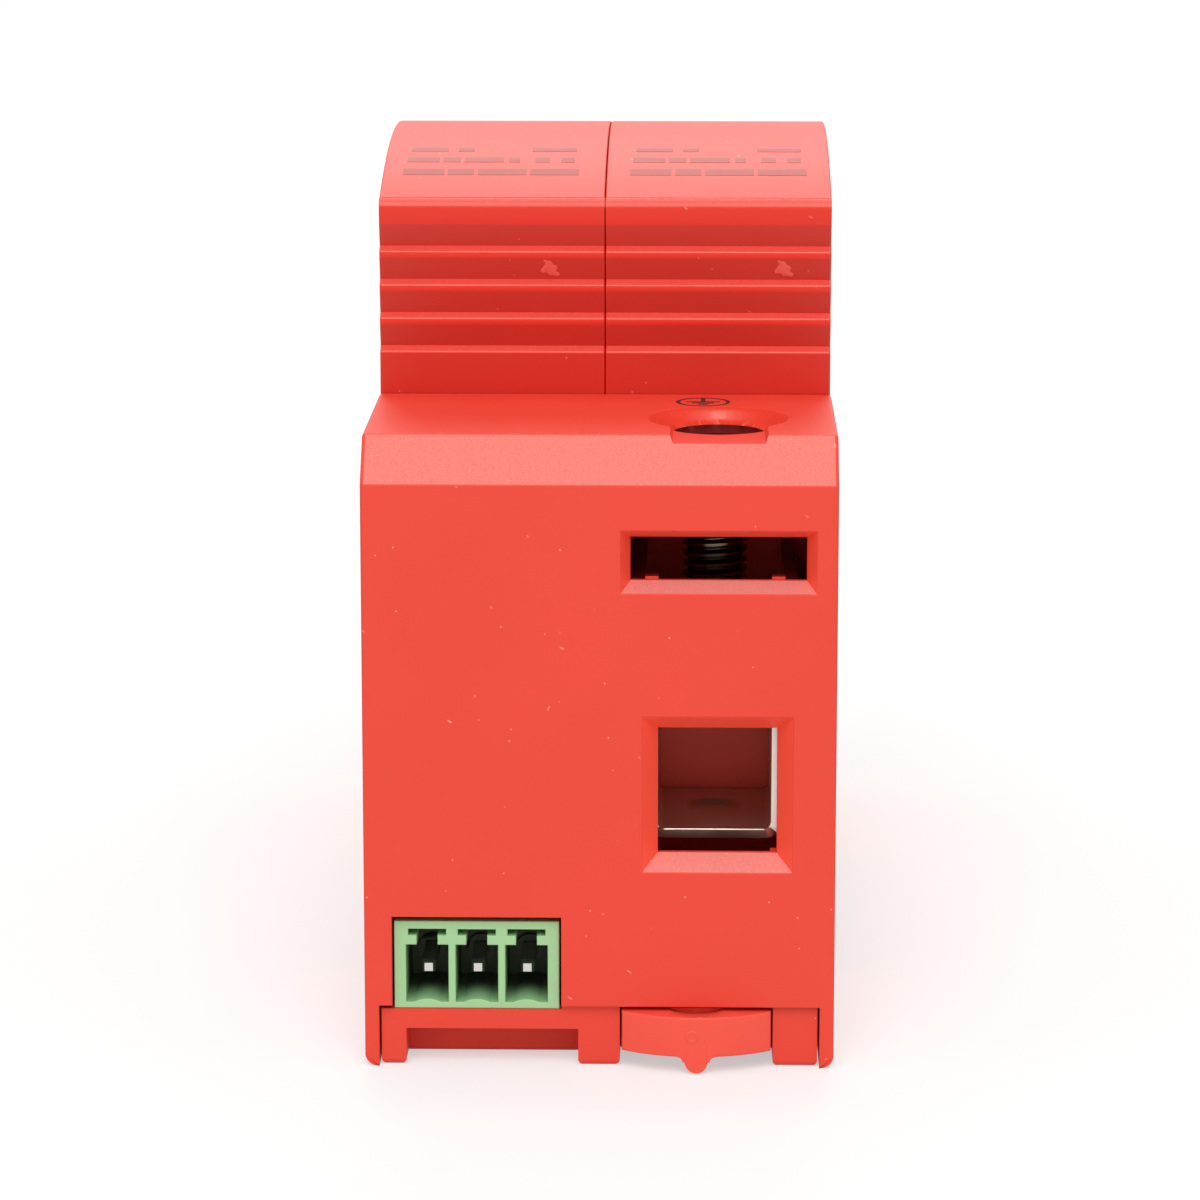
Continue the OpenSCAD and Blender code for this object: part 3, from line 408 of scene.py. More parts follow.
def plated_metal(name, colour, roughness, grain):
    """Electroplated sheet or wire: a bright metal skin with faint rolling marks and cloudy gloss."""
    material, tree, surface = new_material(name)
    place = add_node(tree, "ShaderNodeTexCoord").outputs["Object"]
    cloud = add_node(tree, "ShaderNodeTexNoise", Vector=place, Scale=1 / (PLATE_CLOUD * MM), Detail=4.0)
    fine = add_node(tree, "ShaderNodeTexNoise", Vector=place, Scale=1 / (grain * MM), Detail=2.0)
    gloss = add_node(
        tree, "ShaderNodeMapRange", Value=cloud.outputs["Fac"], To_Min=roughness - 0.08,
        To_Max=roughness + 0.12,
    )
    bump = add_node(tree, "ShaderNodeBump", Strength=0.15, Distance=0.0008 * MM, Height=fine.outputs["Fac"])
    shader = add_node(
        tree, "ShaderNodeBsdfPrincipled", Metallic=1.0, Base_Color=colour,
        Roughness=gloss.outputs["Result"], Normal=bump.outputs["Normal"],
    )
    tree.links.new(shader.outputs["BSDF"], surface)
    return material


def clear_plastic(name):
    """Moulded polycarbonate window: clear, glossy, with a faint haze."""
    material, tree, surface = new_material(name)
    place = add_node(tree, "ShaderNodeTexCoord").outputs["Object"]
    haze = add_node(tree, "ShaderNodeTexNoise", Vector=place, Scale=1 / (CLEAR_CLOUD * MM), Detail=2.0)
    gloss = add_node(tree, "ShaderNodeMapRange", Value=haze.outputs["Fac"], To_Min=0.05, To_Max=0.16)
    shader = add_node(
        tree, "ShaderNodeBsdfPrincipled", IOR=1.58, Base_Color=linear("#F2F5F4"),
        Roughness=gloss.outputs["Result"], Transmission_Weight=0.9,
    )
    tree.links.new(shader.outputs["BSDF"], surface)
    return material


def finishes():
    """All materials by name, made once."""
    if "finishes" in STORE:
        return STORE["finishes"]
    c = colours()
    STORE["finishes"] = {
        "base": moulded_plastic("red_polyamide_fine_grain", c.base_red, 0.2, 0.012, 0.5, 0.42),
        "inside": moulded_plastic("red_polyamide_inside", c.base_red, 0.3, 0.012, 0.5),
        # Base red darkened as painted shade on the screw chambers' walls
        "chamber": moulded_plastic("red_polyamide_chamber_shade", c.chamber_shade_red, 0.3, 0.012, 0.5),
        # The chamfers and the upward mouths get paler grain tips as painted sheen of the overhead light, on
        # top of their real coarse grain
        "chamfer": moulded_plastic("red_polyamide_coarse_grain", c.base_red, 0.13, 0.012, 0.42, 0.5, 0.18),
        "mouth": moulded_plastic("red_polyamide_frosted_sheen", c.base_red, 0.1, 0.003, 0.36, 0.4, 0.34),
        # Paler red as painted light on the side and lower bevels
        "bevel": moulded_plastic("red_polyamide_bevel_painted_light", c.bevel_lit_red, 0.3, 0.002, 0.36),
        "flare": moulded_plastic("red_polyamide_polished", c.base_red, 0.6, 0.001, 0.24),
        "plug": moulded_plastic("red_polyamide_plug", c.plug_red, 0.2, 0.007, 0.42, 0.3),
        # Darker red as painted shade on the lowest ends, with a slightly smoother grain
        "land": moulded_plastic("red_polyamide_smooth_land_shade", c.land_shade_red, 0.2, 0.004, 0.42, 0.3),
        # Darker red as painted shade on the downward grip faces, with dust
        "groove": moulded_plastic("red_polyamide_groove_shade", c.groove_shade_red, 0.2, 0.01, 0.5, 0.2),
        # Upward grip ledges and the plugs' top edge, paled as a painted highlight, with dust
        "ledge": moulded_plastic("red_polyamide_ledge_sheen", c.plug_red, 0.14, 0.004, 0.4, 0.2, 0.07),
        "latch": moulded_plastic("red_polyamide_smooth", c.latch_red, 0.3, 0.006, 0.46, 0.4),
        "torn": moulded_plastic("red_polyamide_torn", c.torn, 0.3, 0.02, 0.5),
        # The header's chamber walls darken inwards as painted shade
        "header": moulded_plastic("green_pbt", c.header_green, 0.3, 0.005, 0.4, painted_shade=(-44.8, -39.4)),
        "flag": moulded_plastic("green_acetal", c.flag_green, 0.3, 0.005, 0.4),
        "black": moulded_plastic("black_pbt", linear("#1E1E20"), 0.3, 0.006, 0.45),
        "white": moulded_plastic("white_acetal", linear("#E6E2D6"), 0.3, 0.005, 0.4),
        "board": moulded_plastic("solder_resist", linear("#1F5B37"), 0.5, 0.004, 0.35),
        "coat": moulded_plastic("dipped_epoxy", linear("#27314F"), 0.8, 0.02, 0.38),
        "ink": moulded_plastic("printed_ink", c.ink, 0.2, 0.004, 0.55),
        "faded_ink": moulded_plastic("pad_printed_ink", c.faded_ink, 0.12, 0.004, 0.45),
        "zinc": plated_metal("zinc_plated_steel", c.zinc, 0.34, 0.12),
        "shear": plated_metal("sheared_steel_edge", c.sheared, 0.42, 0.12),
        # Darker than bright zinc, as painted shade deep in the slots
        "screw": plated_metal("yellow_zinc_plated_steel_shaded", c.screw_zinc_and_shade, 0.18, 0.12),
        "tin": plated_metal("tin_plated_brass", c.tin, 0.3, 0.1),
        "copper": plated_metal("rolled_copper", c.copper, 0.3, 0.15),
        "spring": plated_metal("spring_steel", linear("#A9A9AA"), 0.25, 0.1),
        "clear": clear_plastic("clear_polycarbonate"),
    }
    return STORE["finishes"]


# Operators


# Snap lips in the seam at the foot, in mm: gaps beside the header and the latch, feet, top, depth and middle
LIP_GAPS = (0.2, 0.16)
LIP_FEET = (-0.4, -0.2)
LIP_TOP = -0.03
LIP_DEPTH = 1.1
LIP_MIDDLE = 0.56


class ARRESTER_OT_housing(bpy.types.Operator):
    """Rounds the moulded base housing and the rail base and gives them their grain"""

    bl_idname = "arrester.housing"
    bl_label = "Base housing"

    def execute(self, context):
        s, f = sizes(), finishes()
        low, high = (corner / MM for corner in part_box("base_housing"))
        shell = cad_copy("base_housing", "base_housing_moulded")
        for v in shell.data.vertices:
            if abs(v.co.z / MM - NUB_TOP) < NEAR and abs(v.co.y / MM) < high.y - NUB_SETBACK:
                v.co.z -= s.nub_drop
        screws = [sum(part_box(pattern.format("screw")), Vector()) / (2 * MM) for pattern in TERMINALS]

        def from_screw(p):
            return min(math.hypot(p.x - c.x, p.y - c.y) for c in screws)

        def on_side(p):
            return abs(p.x) > high.x - NEAR

        def on_flare(p):
            at_edge = p.z > high.z - NEAR or abs(p.z - high.z + FLARE_EDGE[1]) < NEAR
            return at_edge and from_screw(p) < FLARE_EDGE[0]

        def on_rim(p):
            at_end = abs(p.y) > high.y - NEAR
            return not on_side(p) and (at_end or p.z > high.z - NEAR or p.z < low.z + NEAR)

        soften(shell, s.skin_edge, on_side)
        soften(shell, s.flare_edge, on_flare)
        soften(shell, s.rim_edge, on_rim)
        parts = ("base", "chamfer", "mouth", "flare", "inside", "chamber", "bevel")
        for finish in parts:
            shell.data.materials.append(f[finish])
        for face in shell.data.polygons:
            face.material_index = parts.index(self.finish_of(face, high, from_screw))
        complete(shell, "base", "red_polyamide", f["base"], "base_housing")

        floor = cad_copy("rail_base", "rail_base_moulded")
        low, high = (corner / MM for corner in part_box("rail_base"))
        soften(floor, s.foot_edge, lambda p: p.z < low.z + NEAR)
        self.close_seams(floor, high.x, low.y)
        complete(floor, "base", "red_polyamide", f["base"], "rail_base")
        return {"FINISHED"}

    def finish_of(self, face, high, from_screw):
        """The finish of one face of the housing."""
        p, normal = face.center / MM, face.normal
        x, y = abs(p.x), abs(p.y)
        whole = face.area > WHOLE_FACE * MM**2
        # Upward chamfers and mouths take the finishes with painted sheen
        if 0.5 < normal.z < 0.95 and abs(normal.x) < 0.01 and y > high.y - CHAMFER[0] and whole:
            return "chamfer" if p.z > high.z - CHAMFER[1] else "mouth"
        # Bevels that face sideways and downward take the painted light
        slanted = 0.3 < abs(normal.y) < 0.95 and (abs(normal.x) > 0.3 or normal.z < -0.3)
        if x < high.x - MOUTH[0] and y > high.y - MOUTH[1] and slanted and whole:
            return "bevel"
        if from_screw(p) < FLARE_ZONE[0] and p.z > high.z - FLARE_ZONE[1] and 0.02 < normal.z < 0.98:
            return "flare"
        if x < high.x - HOLLOW[0] and y < high.y - HOLLOW[1] and p.z < high.z - HOLLOW[2]:
            # The chamber walls above the cages take the painted shade
            return "chamber" if y > TOWER_START and p.z > CHAMBER_FLOOR else "inside"
        return "base"

    def close_seams(self, floor, side, end):
        """Snap-fit lips that close the seam between the rail base and the end face."""
        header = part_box("signal_header")[1].x / MM
        latch = [corner.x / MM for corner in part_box("rail_latch")]
        only(floor)
        bpy.ops.object.mode_set(mode="EDIT")
        beside_header = (header + LIP_GAPS[0], latch[0] - LIP_GAPS[1])
        beside_latch = (latch[1] + LIP_GAPS[1], side)
        for (x0, x1), foot in zip((beside_header, beside_latch), LIP_FEET):
            bpy.ops.mesh.select_all(action="DESELECT")
            bpy.ops.mesh.primitive_cube_add(
                size=1,
                location=[value * MM for value in ((x0 + x1) / 2, end + LIP_MIDDLE, (foot + LIP_TOP) / 2)],
                scale=[value * MM for value in (x1 - x0, LIP_DEPTH, LIP_TOP - foot)],
            )
        bpy.ops.object.mode_set(mode="OBJECT")


class ARRESTER_OT_latch(bpy.types.Operator):
    """Rounds the sliding rail latch, and smooths its coil spring and gives it spring steel"""

    bl_idname = "arrester.latch"
    bl_label = "Rail latch"

    def execute(self, context):
        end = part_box("rail_latch")[0].y / MM
        latch = cad_copy("rail_latch", "rail_latch_moulded")
        soften(latch, sizes().latch_edge, lambda p: p.y < end + LATCH_FRONT)
        complete(latch, "latch", "latch_plastic", finishes()["latch"], "rail_latch")

        spring = cad_copy("latch_spring", "latch_spring_wound")
        complete(spring, "base", "spring_steel", finishes()["spring"], "latch_spring", smooth=60)
        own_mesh(spring)
        return {"FINISHED"}


class ARRESTER_OT_plugs(bpy.types.Operator):
    """Rounds the two plug caps and gives their grips, ends and tops their finish"""

    bl_idname = "arrester.plugs"
    bl_label = "Plugs"

    def execute(self, context):
        s, f = sizes(), finishes()
        half_gap = s.plug_gap / MM / 2
        for side in SIDES:
            node = "plug_cap_" + side
            low, high = (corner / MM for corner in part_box(node))
            cap = cad_copy(node, node + "_moulded")
            radius = (high.y**2 + ARCH_RISE**2) / (2 * ARCH_RISE)
            for v in cap.data.vertices:
                inward = high.y - abs(v.co.y / MM)
                if abs(v.co.x) < FACING * MM:
                    v.co.x = math.copysign(s.plug_gap / 2, v.co.x)
                if ARCH_STEP[0] > inward > ARCH_STEP[1] and v.co.z > ARCH_STEP_FOOT * MM:
                    v.co.z = (high.z - radius + math.sqrt(radius**2 - (v.co.y / MM) ** 2)) * MM
            only(cap)
            bpy.ops.object.mode_set(mode="EDIT")
            bpy.ops.mesh.select_all(action="SELECT")
            bpy.ops.mesh.remove_doubles(threshold=0.004 * MM)
            bpy.ops.object.mode_set(mode="OBJECT")
            inner = half_gap if side == "right" else low.x
            outer = high.x if side == "right" else -half_gap

            def outside(p):
                on_side = min(p.x - inner, outer - p.x) < NEAR
                on_end = min(p.y - low.y, high.y - p.y) < NEAR
                free = p.z > BAY_TOP
                return on_side and (on_end or free) or on_end and free

            soften(cap, s.plug_edge, outside, 7)
            parts = ("plug", "groove", "ledge", "land")
            for finish in parts:
                cap.data.materials.append(f[finish])
            for face in cap.data.polygons:
                face.material_index = parts.index(self.finish_of(face, high))
            complete(
                cap, "plug_" + side, "plug_polyamide", f["plug"], node, smooth=18, blend=self.blend_edges
            )
        return {"FINISHED"}

    def finish_of(self, face, high):
        """The finish of one face of a plug: painted shade on the downward grip faces and the low ends,
        painted highlight on the upward ledges and the top edge.
        """
        p, normal = face.center / MM, face.normal
        across = abs(normal.y) > 0.4 and GRIPS[0] < p.z < GRIPS[1]
        # Downward faces of the grips take the painted shade
        if across and normal.z < -0.2:
            return "groove"
        # Upward faces of the grips, up to the top edge, take the painted highlight
        if across and normal.z > 0.3:
            return "ledge"
        # The lowest ends take the painted shade
        if abs(normal.y) > 0.9 and p.z < LAND_TOP and high.y - abs(p.y) < LAND_DEPTH:
            return "land"
        return "plug"

    def blend_edges(self, cap):
        """Lets the arched top of a plug run smoothly over its upper edges."""
        only(cap)
        bpy.ops.object.mode_set(mode="EDIT")
        bpy.ops.mesh.select_mode(type="EDGE")
        bpy.ops.mesh.select_all(action="DESELECT")
        mesh = bmesh.from_edit_mesh(cap.data)
        for edge in mesh.edges:
            middle = (edge.verts[0].co + edge.verts[1].co) / (2 * MM)
            upward = all(abs(f.normal.x) < 0.3 and f.normal.z > 0.05 for f in edge.link_faces)
            edge.select = middle.z > ARCH_FOOT and upward
        mesh.select_flush_mode()
        bmesh.update_edit_mesh(cap.data)
        bpy.ops.mesh.mark_sharp(clear=True)
        bpy.ops.object.mode_set(mode="OBJECT")


class ARRESTER_OT_header(bpy.types.Operator):
    """Rounds the green signal header"""

    bl_idname = "arrester.header"
    bl_label = "Signal header"

    def execute(self, context):
        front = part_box("signal_header")[0].y / MM
        shroud = cad_copy("signal_header", "signal_header_moulded")
        soften(shroud, sizes().header_edge, lambda p: p.y < front + NEAR)
        complete(shroud, "base", "green_plastic", finishes()["header"], "signal_header")
        return {"FINISHED"}


# Flank of the screw thread: from where to where its root and its crest reach, in shares of the pitch
THREAD_ROOT = (0, 0.95)
THREAD_CREST = (0.35, 0.6)


class ARRESTER_OT_terminals(bpy.types.Operator):
    """Cuts the screw threads and rounds the cages of the three terminals"""

    bl_idname = "arrester.terminals"
    bl_label = "Terminals"

    def execute(self, context):
        s, f = sizes(), finishes()
        for pattern in TERMINALS:
            node = pattern.format("screw")
            low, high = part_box(node)
            axis = (low + high) / 2
            head_z = high.z - HEAD_HEIGHT * MM
            screw = cad_copy(node, node + "_threaded")
            radius = SHANK_RADIUS * MM

            def from_axis(p):
                return math.hypot(p.x - axis.x, p.y - axis.y)

            def on_head_rim(p):
                return p.z * MM > head_z - ON_FACE * MM and from_axis(p * MM) > HEAD_RIM * MM

            only(screw)
            bpy.ops.object.mode_set(mode="EDIT")
            bpy.ops.mesh.select_mode(type="VERT")
            bpy.ops.mesh.select_all(action="DESELECT")
            mesh = bmesh.from_edit_mesh(screw.data)
            for v in mesh.verts:
                v.select = from_axis(v.co) < radius + NEAR * MM and v.co.z < head_z + ON_FACE * MM
            mesh.select_flush_mode()
            bmesh.update_edit_mesh(screw.data)
            core = (radius - s.thread_depth) / radius
            bpy.ops.transform.resize(value=(core, core, 1), center_override=axis)
            bpy.ops.object.mode_set(mode="OBJECT")
            soften(screw, s.head_edge, on_head_rim)
            thread = self.thread(low.z, head_z, radius, s.thread_depth, s.thread_pitch)
            thread.location = (axis.x, axis.y, 0)
            only(thread)
            bpy.ops.object.transform_apply(location=True)
            only(screw)
            thread.select_set(True)
            bpy.ops.object.join()
            complete(screw, body_of_node(node), "zinc_steel", f["screw"], node)

            node = pattern.format("cage")
            low, high = (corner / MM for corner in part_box(node))
            cage = cad_copy(node, node + "_bent")
            front = max(low.y, high.y, key=abs)
            only(cage)
            bpy.ops.object.mode_set(mode="EDIT")
            bpy.ops.mesh.select_mode(type="FACE")
            bpy.ops.mesh.select_all(action="DESELECT")
            mesh = bmesh.from_edit_mesh(cage.data)
            for face in mesh.faces:
                face.select = abs(face.calc_center_median().y / MM - front) < ON_FACE
            mesh.select_flush_mode()
            bmesh.update_edit_mesh(cage.data)
            bpy.ops.mesh.quads_convert_to_tris()
            bpy.ops.object.mode_set(mode="OBJECT")
            for v in cage.data.vertices:
                p = v.co / MM
                if abs(p.y - front) < ON_FACE and p.z < low.z + SHEET_FOOT:
                    v.co.y -= math.copysign(s.shear_tilt, front)
            soften(cage, s.sheet_edge, lambda p: min(p.y - low.y, high.y - p.y) < NEAR)
            for finish in ("zinc", "shear"):
                cage.data.materials.append(f[finish])
            for face in cage.data.polygons:
                p = face.center / MM
                face.material_index = int(abs(p.y - front) < ON_FACE and p.z > low.z + SHEET)
            complete(cage, body_of_node(node), "zinc_steel", f["zinc"], node)
        return {"FINISHED"}

    def thread(self, low, high, radius, depth, pitch):
        """One flank profile wound up the shank by the Screw modifier."""
        bpy.ops.object.select_all(action="DESELECT")
        bpy.ops.mesh.primitive_plane_add(size=1)
        coil = bpy.context.object
        bpy.ops.object.mode_set(mode="EDIT")
        bpy.ops.mesh.delete(type="ONLY_FACE")
        bpy.ops.mesh.select_mode(type="EDGE")
        mesh = bmesh.from_edit_mesh(coil.data)
        for edge in mesh.edges:
            edge.select = all(v.co.x < 0 for v in edge.verts)
        mesh.select_flush_mode()
        bmesh.update_edit_mesh(coil.data)
        bpy.ops.mesh.delete(type="EDGE")
        mesh = bmesh.from_edit_mesh(coil.data)
        for v in mesh.verts:
            upper = int(v.co.y > 0)
            if v.co.x > 0:
                v.co = (radius, 0, low + pitch * THREAD_CREST[upper])
            else:
                v.co = (radius - depth, 0, low + pitch * THREAD_ROOT[upper])
        bmesh.update_edit_mesh(coil.data)
        bpy.ops.object.mode_set(mode="OBJECT")
        wind = coil.modifiers.new("wind", "SCREW")
        wind.screw_offset = pitch
        wind.iterations = int((high - low) / pitch)
        wind.steps = wind.render_steps = 32
        wind.use_merge_vertices = True
        only(coil)
        bpy.ops.object.modifier_apply(modifier="wind")
        bpy.ops.object.mode_set(mode="EDIT")
        bpy.ops.mesh.select_all(action="SELECT")
        bpy.ops.mesh.remove_doubles(threshold=0.001 * MM)
        bpy.ops.mesh.normals_make_consistent(inside=False)
        bpy.ops.object.mode_set(mode="OBJECT")
        return coil


# Earth sign: place and line width in mm
SIGN_PLACE = (7.8, -26.3)
SIGN_LINE = 0.34

# Where the printed rows begin across the plugs, in mm
ROW_STARTS = {"left": -16.3, "right": 1.9}
# Printed rows on a plug: place along the plug and height in mm, then each word's offset and width
DATA_ROWS = (
    (-16.7, 1.3, ((0.0, 3.3), (3.6, 2.1), (6.0, 3.9), (10.2, 3.9))),
    (-13.9, 1.2, ((0.2, 2.6), (3.1, 1.4), (4.8, 3.2), (8.4, 0.9), (10.5, 1.2), (12.6, 1.1))),
    (-11.2, 0.9, ((0.4, 3.0), (4.2, 1.3), (10.2, 3.6))),
)


class ARRESTER_OT_print(bpy.types.Operator):
    """Prints the earth sign on the shoulder and the rows on the plugs"""

    bl_idname = "arrester.print"
    bl_label = "Print"

    def execute(self, context):
        s = sizes()
        line = SIGN_LINE * MM
        half = s.sign_width / 2
        # Place along Y as a share of the radius, then width and height
        strokes = (
            (0.5, line, half * 0.9),
            (0, half * 1.25, line),
            (-0.28, half * 0.8, line),
            (-0.56, half * 0.36, line),
        )
        bpy.ops.object.select_all(action="DESELECT")
        bpy.ops.mesh.primitive_torus_add(
            major_segments=64, minor_segments=8, major_radius=half - line / 2, minor_radius=line / 2
        )
        sign = bpy.context.object
        bpy.ops.object.mode_set(mode="EDIT")
        bpy.ops.transform.resize(value=(1, 1, 2 * s.print_height / line), center_override=(0, 0, 0))
        for y, wide, tall in strokes:
            bpy.ops.mesh.select_all(action="DESELECT")
            bpy.ops.mesh.primitive_cube_add(size=1, location=(0, 0, 0))
            bpy.ops.transform.resize(value=(wide, tall, 2 * s.print_height), center_override=(0, 0, 0))
            bpy.ops.transform.translate(value=(0, y * half, 0))
        bpy.ops.object.mode_set(mode="OBJECT")
        sign.name = "earth_sign"
        sign.location = [value * MM for value in (*SIGN_PLACE, SHOULDER)]
        only(sign)
        bpy.ops.object.transform_apply(location=True)
        complete(sign, "base", "red_polyamide", finishes()["ink"])
        for side in SIDES:
            self.data_rows(side, ROW_STARTS[side])
        return {"FINISHED"}

    def data_rows(self, side, start):
        """Rows of plain bars that stand for a plug's printed data."""
        cap = bpy.data.objects["plug_cap_" + side + "_moulded"]
        bpy.ops.object.select_all(action="DESELECT")
        bpy.ops.mesh.primitive_plane_add(size=1)
        rows = bpy.context.object
        rows.name = "data_rows_" + side
        bpy.ops.object.mode_set(mode="EDIT")
        bpy.ops.mesh.delete(type="VERT")
        for y, tall, words in DATA_ROWS:
            for offset, wide in words:
                x = (start + offset + wide / 2) * MM
                hit, spot, normal, _ = cap.ray_cast(Vector((x, y * MM, 0.1)), Vector((0, 0, -1)))
                if not hit:
                    raise RuntimeError("no plug top under the print")
                bpy.ops.mesh.select_all(action="DESELECT")
                bpy.ops.mesh.primitive_cube_add(
                    size=1, location=spot, rotation=(math.atan2(-normal.y, normal.z), 0, 0),
                    scale=(wide * MM, tall * MM, 2 * sizes().print_height),
                )
        bpy.ops.object.mode_set(mode="OBJECT")
        complete(rows, "plug_" + side, "plug_polyamide", finishes()["faded_ink"])


# Gate marks of the plugs: places in mm, and tilt of the groove that they lie in, in degrees
GATE_PLACES = {"left": (-4.55, -22.1, 54.0), "right": (13.96, -22.1, 54.0)}
GATE_TILT = 90 + 19
# Lumps of torn plastic in a gate mark: place across and up and radius in mm, drawn together and pressed flat
GATE_LUMPS = (
    (0.1, 0.4, 0.3),
    (0.3, -0.3, 0.36),
    (-0.35, -0.2, 0.24),
    (0.5, 0.05, 0.28),
    (0.75, -0.5, 0.22),
    (-0.2, 0.65, 0.16),
)
GATE_CORE = 0.4  # radius of the lump in the middle
GATE_GRID = 0.07  # grid on which the lumps are drawn together
GATE_FLATNESS = 0.12  # share of the height that stays

# Ring of the latch's ejector mark: place, radius and thickness in mm, and the share of the height that stays
EJECTOR_PLACE = (7.15, -46.79, -1.84)
EJECTOR_RING = (0.38, 0.14)
EJECTOR_FLATNESS = 0.3


class ARRESTER_OT_marks(bpy.types.Operator):
    """Adds the moulding marks: the plugs' gate marks and the latch's ejector mark"""

    bl_idname = "arrester.marks"
    bl_label = "Moulding marks"

    def execute(self, context):
        for side in SIDES:
            bpy.ops.object.select_all(action="DESELECT")
            bpy.ops.mesh.primitive_uv_sphere_add(segments=24, ring_count=12, radius=GATE_CORE)
            smear = context.object
            bpy.ops.object.mode_set(mode="EDIT")
            for across, up, radius in GATE_LUMPS:
                bpy.ops.mesh.select_all(action="DESELECT")
                bpy.ops.mesh.primitive_uv_sphere_add(
                    segments=20, ring_count=10, radius=radius, location=(across, up, 0)
                )
            bpy.ops.object.mode_set(mode="OBJECT")
            melt = smear.modifiers.new("melt", "REMESH")
            melt.mode = "VOXEL"
            melt.voxel_size = GATE_GRID
            flow = smear.modifiers.new("flow", "SMOOTH")
            flow.factor = 0.5
            flow.iterations = 8
            only(smear)
            for modifier in ("melt", "flow"):
                bpy.ops.object.modifier_apply(modifier=modifier)
            smear.scale = (MM, MM, GATE_FLATNESS * MM)
            self.fix(smear, "gate_mark_" + side, GATE_PLACES[side], GATE_TILT)
            complete(smear, "plug_" + side, "plug_polyamide", finishes()["torn"], smooth=60)
        bpy.ops.object.select_all(action="DESELECT")
        bpy.ops.mesh.primitive_torus_add(
            major_segments=32, minor_segments=10, major_radius=EJECTOR_RING[0] * MM,
            minor_radius=EJECTOR_RING[1] * MM,
        )
        ring = context.object
        ring.scale.z = EJECTOR_FLATNESS
        self.fix(ring, "ejector_mark", EJECTOR_PLACE, 90)
        complete(ring, "latch", "latch_plastic", finishes()["latch"], smooth=60)
        return {"FINISHED"}

    def fix(self, mark, name, place, tilt):
        """Tilts a mark to its face, by degrees, and sets it there."""
        mark.name = name
        mark.rotation_euler.x = math.radians(tilt)
        mark.location = [value * MM for value in place]
        only(mark)
        bpy.ops.object.transform_apply(location=True, rotation=True, scale=True)


class ARRESTER_OT_inner_parts(bpy.types.Operator):
    """Gives the pieces that keep their CAD shape their materials"""

    bl_idname = "arrester.inner_parts"
    bl_label = "Inner parts"

    def execute(self, context):
        f = finishes()
        by_name = {
            "pins": "tin", "socket": "tin", "blade": "tin", "bar": "copper", "strap": "copper",
            "spring": "spring", "board": "board", "microswitch": "black", "button": "white",
            "rocker": "white", "varistor": "coat", "slider": "flag", "window": "clear", "plug_floor": "plug",
        }
        for name, node in frame["nodes"].items():
            finish = next((by_name[key] for key in by_name if key in name), None)
            if finish:
                node.data.materials.clear()
                node.data.materials.append(f[finish])
        return {"FINISHED"}


# Studio floor: width in m, tone of the light that it throws back, and share of plain white in its look
FLOOR_WIDTH = 3.2
FLOOR_BOUNCE = "#E4E4E3"
FLOOR_WHITE = 0.5
# Strength of the surrounding light on the object, and where it is seen
WORLD_LIGHT = (0.6, 1.0)
# Lamps, aimed at a height in mm: name, place and width in m, power in W
LAMP_AIM = 30
LAMPS = (
    ("front_softbox", (0.0, -3.9, 4.75), 4.2, 218.0),
    ("top_lamp", (0.0, 1.3, 5.8), 0.9, 30.0),
    ("back_softbox", (0.0, 3.06, 2.57), 2.0, 30.0),
)
# Camera of the photograph: place in mm, turn in degrees, lens and sensor in mm
CAMERA_PLACE = (7.10, -386.58, 101.50)
CAMERA_TURN = (90 - 11.52, 0, 1.18)
CAMERA_LENS = 138.87
CAMERA_SENSOR = 36


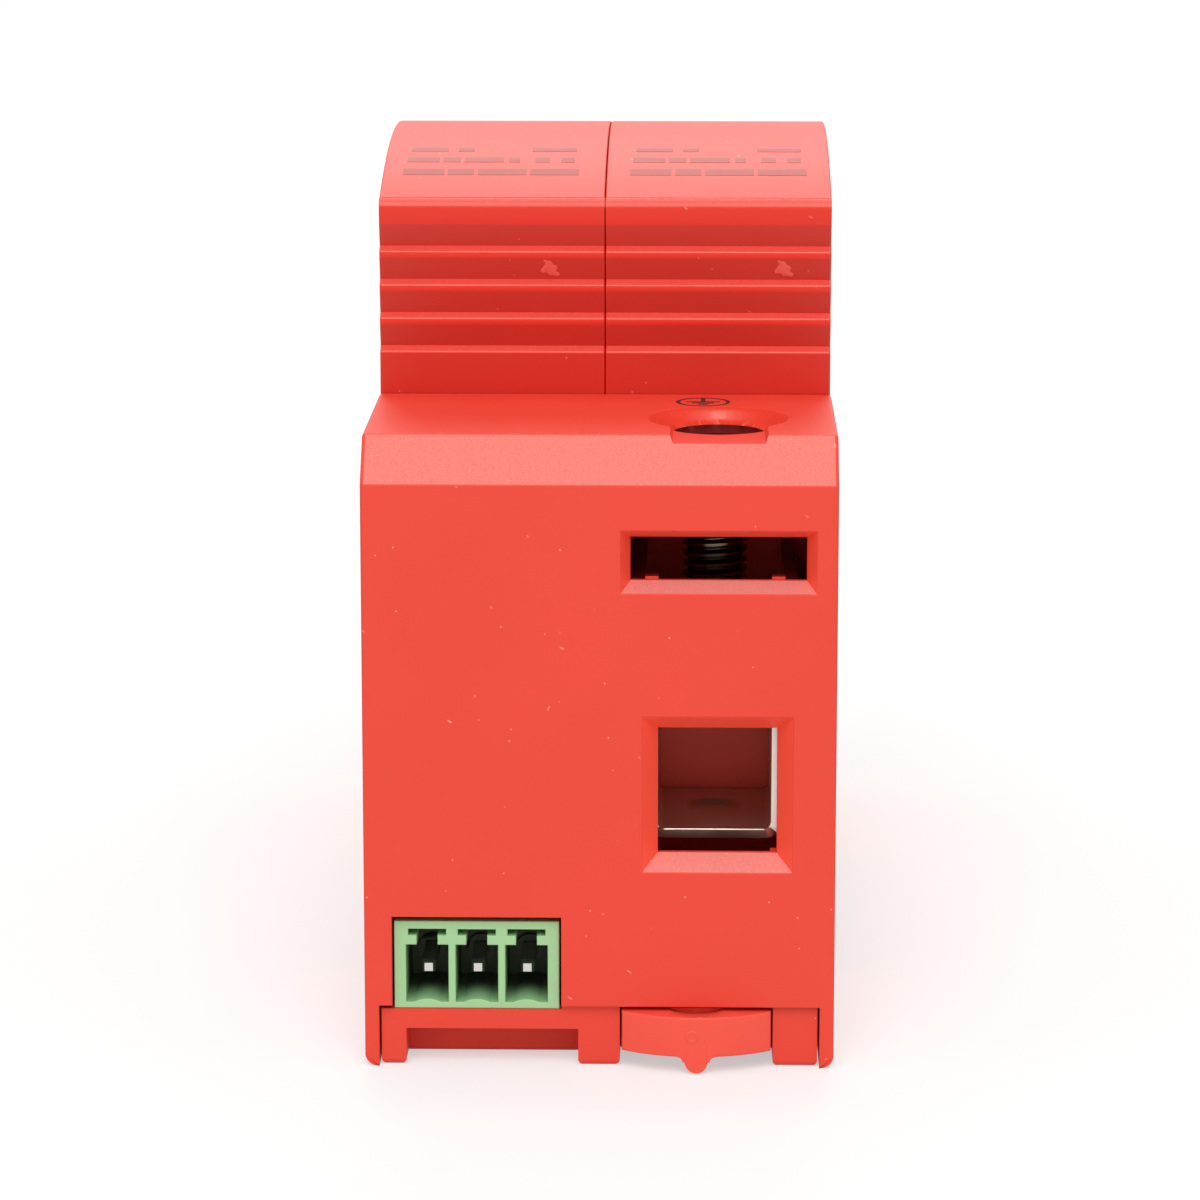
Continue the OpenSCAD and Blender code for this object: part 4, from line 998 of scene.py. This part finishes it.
class ARRESTER_OT_stage(bpy.types.Operator):
    """Sets the floor, the lights and the camera"""

    bl_idname = "arrester.stage"
    bl_label = "Studio"

    def execute(self, context):
        scene = context.scene
        scene.view_settings.view_transform = "Standard"
        bpy.ops.object.select_all(action="DESELECT")
        bpy.ops.mesh.primitive_plane_add(size=FLOOR_WIDTH, location=(0, 0, CAD_BOX[0][2]))
        floor = context.object
        floor.name = "studio_floor"
        material, tree, surface = new_material("studio_paper")
        seen = self.seen_rays(tree)
        tone = add_node(
            tree, "ShaderNodeMix", {"data_type": "RGBA"}, i0=seen, i6=linear(FLOOR_BOUNCE), i7=colours().floor
        )
        paper = add_node(tree, "ShaderNodeBsdfDiffuse", Color=tone.outputs[2])
        white = add_node(tree, "ShaderNodeEmission", Color=(1, 1, 1, 1), Strength=1.0)
        share = add_node(tree, "ShaderNodeMath", {"operation": "MULTIPLY"}, i0=seen, i1=FLOOR_WHITE)
        mixed = add_node(
            tree, "ShaderNodeMixShader", i0=share.outputs[0], i1=paper.outputs["BSDF"],
            i2=white.outputs["Emission"],
        )
        tree.links.new(mixed.outputs["Shader"], surface)
        floor.data.materials.append(material)

        world = bpy.data.worlds.new("studio_light")
        scene.world = world
        world.use_nodes = True
        tree = world.node_tree
        tree.nodes.clear()
        strength = add_node(
            tree, "ShaderNodeMapRange", Value=self.seen_rays(tree), To_Min=WORLD_LIGHT[0],
            To_Max=WORLD_LIGHT[1],
        )
        background = add_node(
            tree, "ShaderNodeBackground", Color=(1, 1, 1, 1), Strength=strength.outputs["Result"]
        )
        out = add_node(tree, "ShaderNodeOutputWorld")
        tree.links.new(background.outputs["Background"], out.inputs["Surface"])

        aim = Vector((0, 0, LAMP_AIM * MM))
        for name, place, width, power in LAMPS:
            light = bpy.data.lights.new(name, "AREA")
            light.size = width
            light.energy = power
            lamp = bpy.data.objects.new(name, light)
            lamp.location = place
            lamp.rotation_euler = (aim - Vector(place)).to_track_quat("-Z", "Y").to_euler()
            lamp.visible_camera = False
            scene.collection.objects.link(lamp)

        camera = bpy.data.cameras.new("photo_camera")
        camera.lens = CAMERA_LENS
        camera.sensor_width = CAMERA_SENSOR
        camera.clip_start = 0.01
        viewer = bpy.data.objects.new("photo_camera", camera)
        viewer.location = [value * MM for value in CAMERA_PLACE]
        viewer.rotation_euler = [math.radians(angle) for angle in CAMERA_TURN]
        scene.collection.objects.link(viewer)
        scene.camera = viewer
        return {"FINISHED"}

    def seen_rays(self, tree):
        """One for rays that show the background to the eye, in metal and in glass."""
        path = add_node(tree, "ShaderNodeLightPath")
        seen = path.outputs["Is Camera Ray"]
        for ray in ("Is Glossy Ray", "Is Transmission Ray"):
            seen = add_node(
                tree, "ShaderNodeMath", {"operation": "MAXIMUM"}, i0=seen, i1=path.outputs[ray]
            ).outputs[0]
        return seen


class ARRESTER_PT_panel(bpy.types.Panel):
    """Lists the arrester's steps and settings"""

    bl_idname = "ARRESTER_PT_panel"
    bl_label = "Surge arrester"
    bl_space_type = "VIEW_3D"
    bl_region_type = "UI"
    bl_category = "Arrester"

    def draw(self, context):
        for operator in OPERATORS:
            self.layout.operator(operator.bl_idname)
        for group in (context.scene.arrester_sizes, context.scene.arrester_colours):
            for key in group.__annotations__:
                self.layout.prop(group, key)


OPERATORS = (
    ARRESTER_OT_housing,
    ARRESTER_OT_latch,
    ARRESTER_OT_plugs,
    ARRESTER_OT_header,
    ARRESTER_OT_terminals,
    ARRESTER_OT_print,
    ARRESTER_OT_marks,
    ARRESTER_OT_inner_parts,
    ARRESTER_OT_stage,
)
CLASSES = (ArresterSizes, ArresterColours, *OPERATORS, ARRESTER_PT_panel)


def register():
    for cls in CLASSES:
        bpy.utils.register_class(cls)
    bpy.types.Scene.arrester_sizes = bpy.props.PointerProperty(type=ArresterSizes)
    bpy.types.Scene.arrester_colours = bpy.props.PointerProperty(type=ArresterColours)


def unregister():
    del bpy.types.Scene.arrester_sizes
    del bpy.types.Scene.arrester_colours
    for cls in reversed(CLASSES):
        bpy.utils.unregister_class(cls)


def main():
    register()
    for operator in OPERATORS:
        group, name = operator.bl_idname.split(".")
        getattr(getattr(bpy.ops, group), name)()


if __name__ == "__main__":
    main()
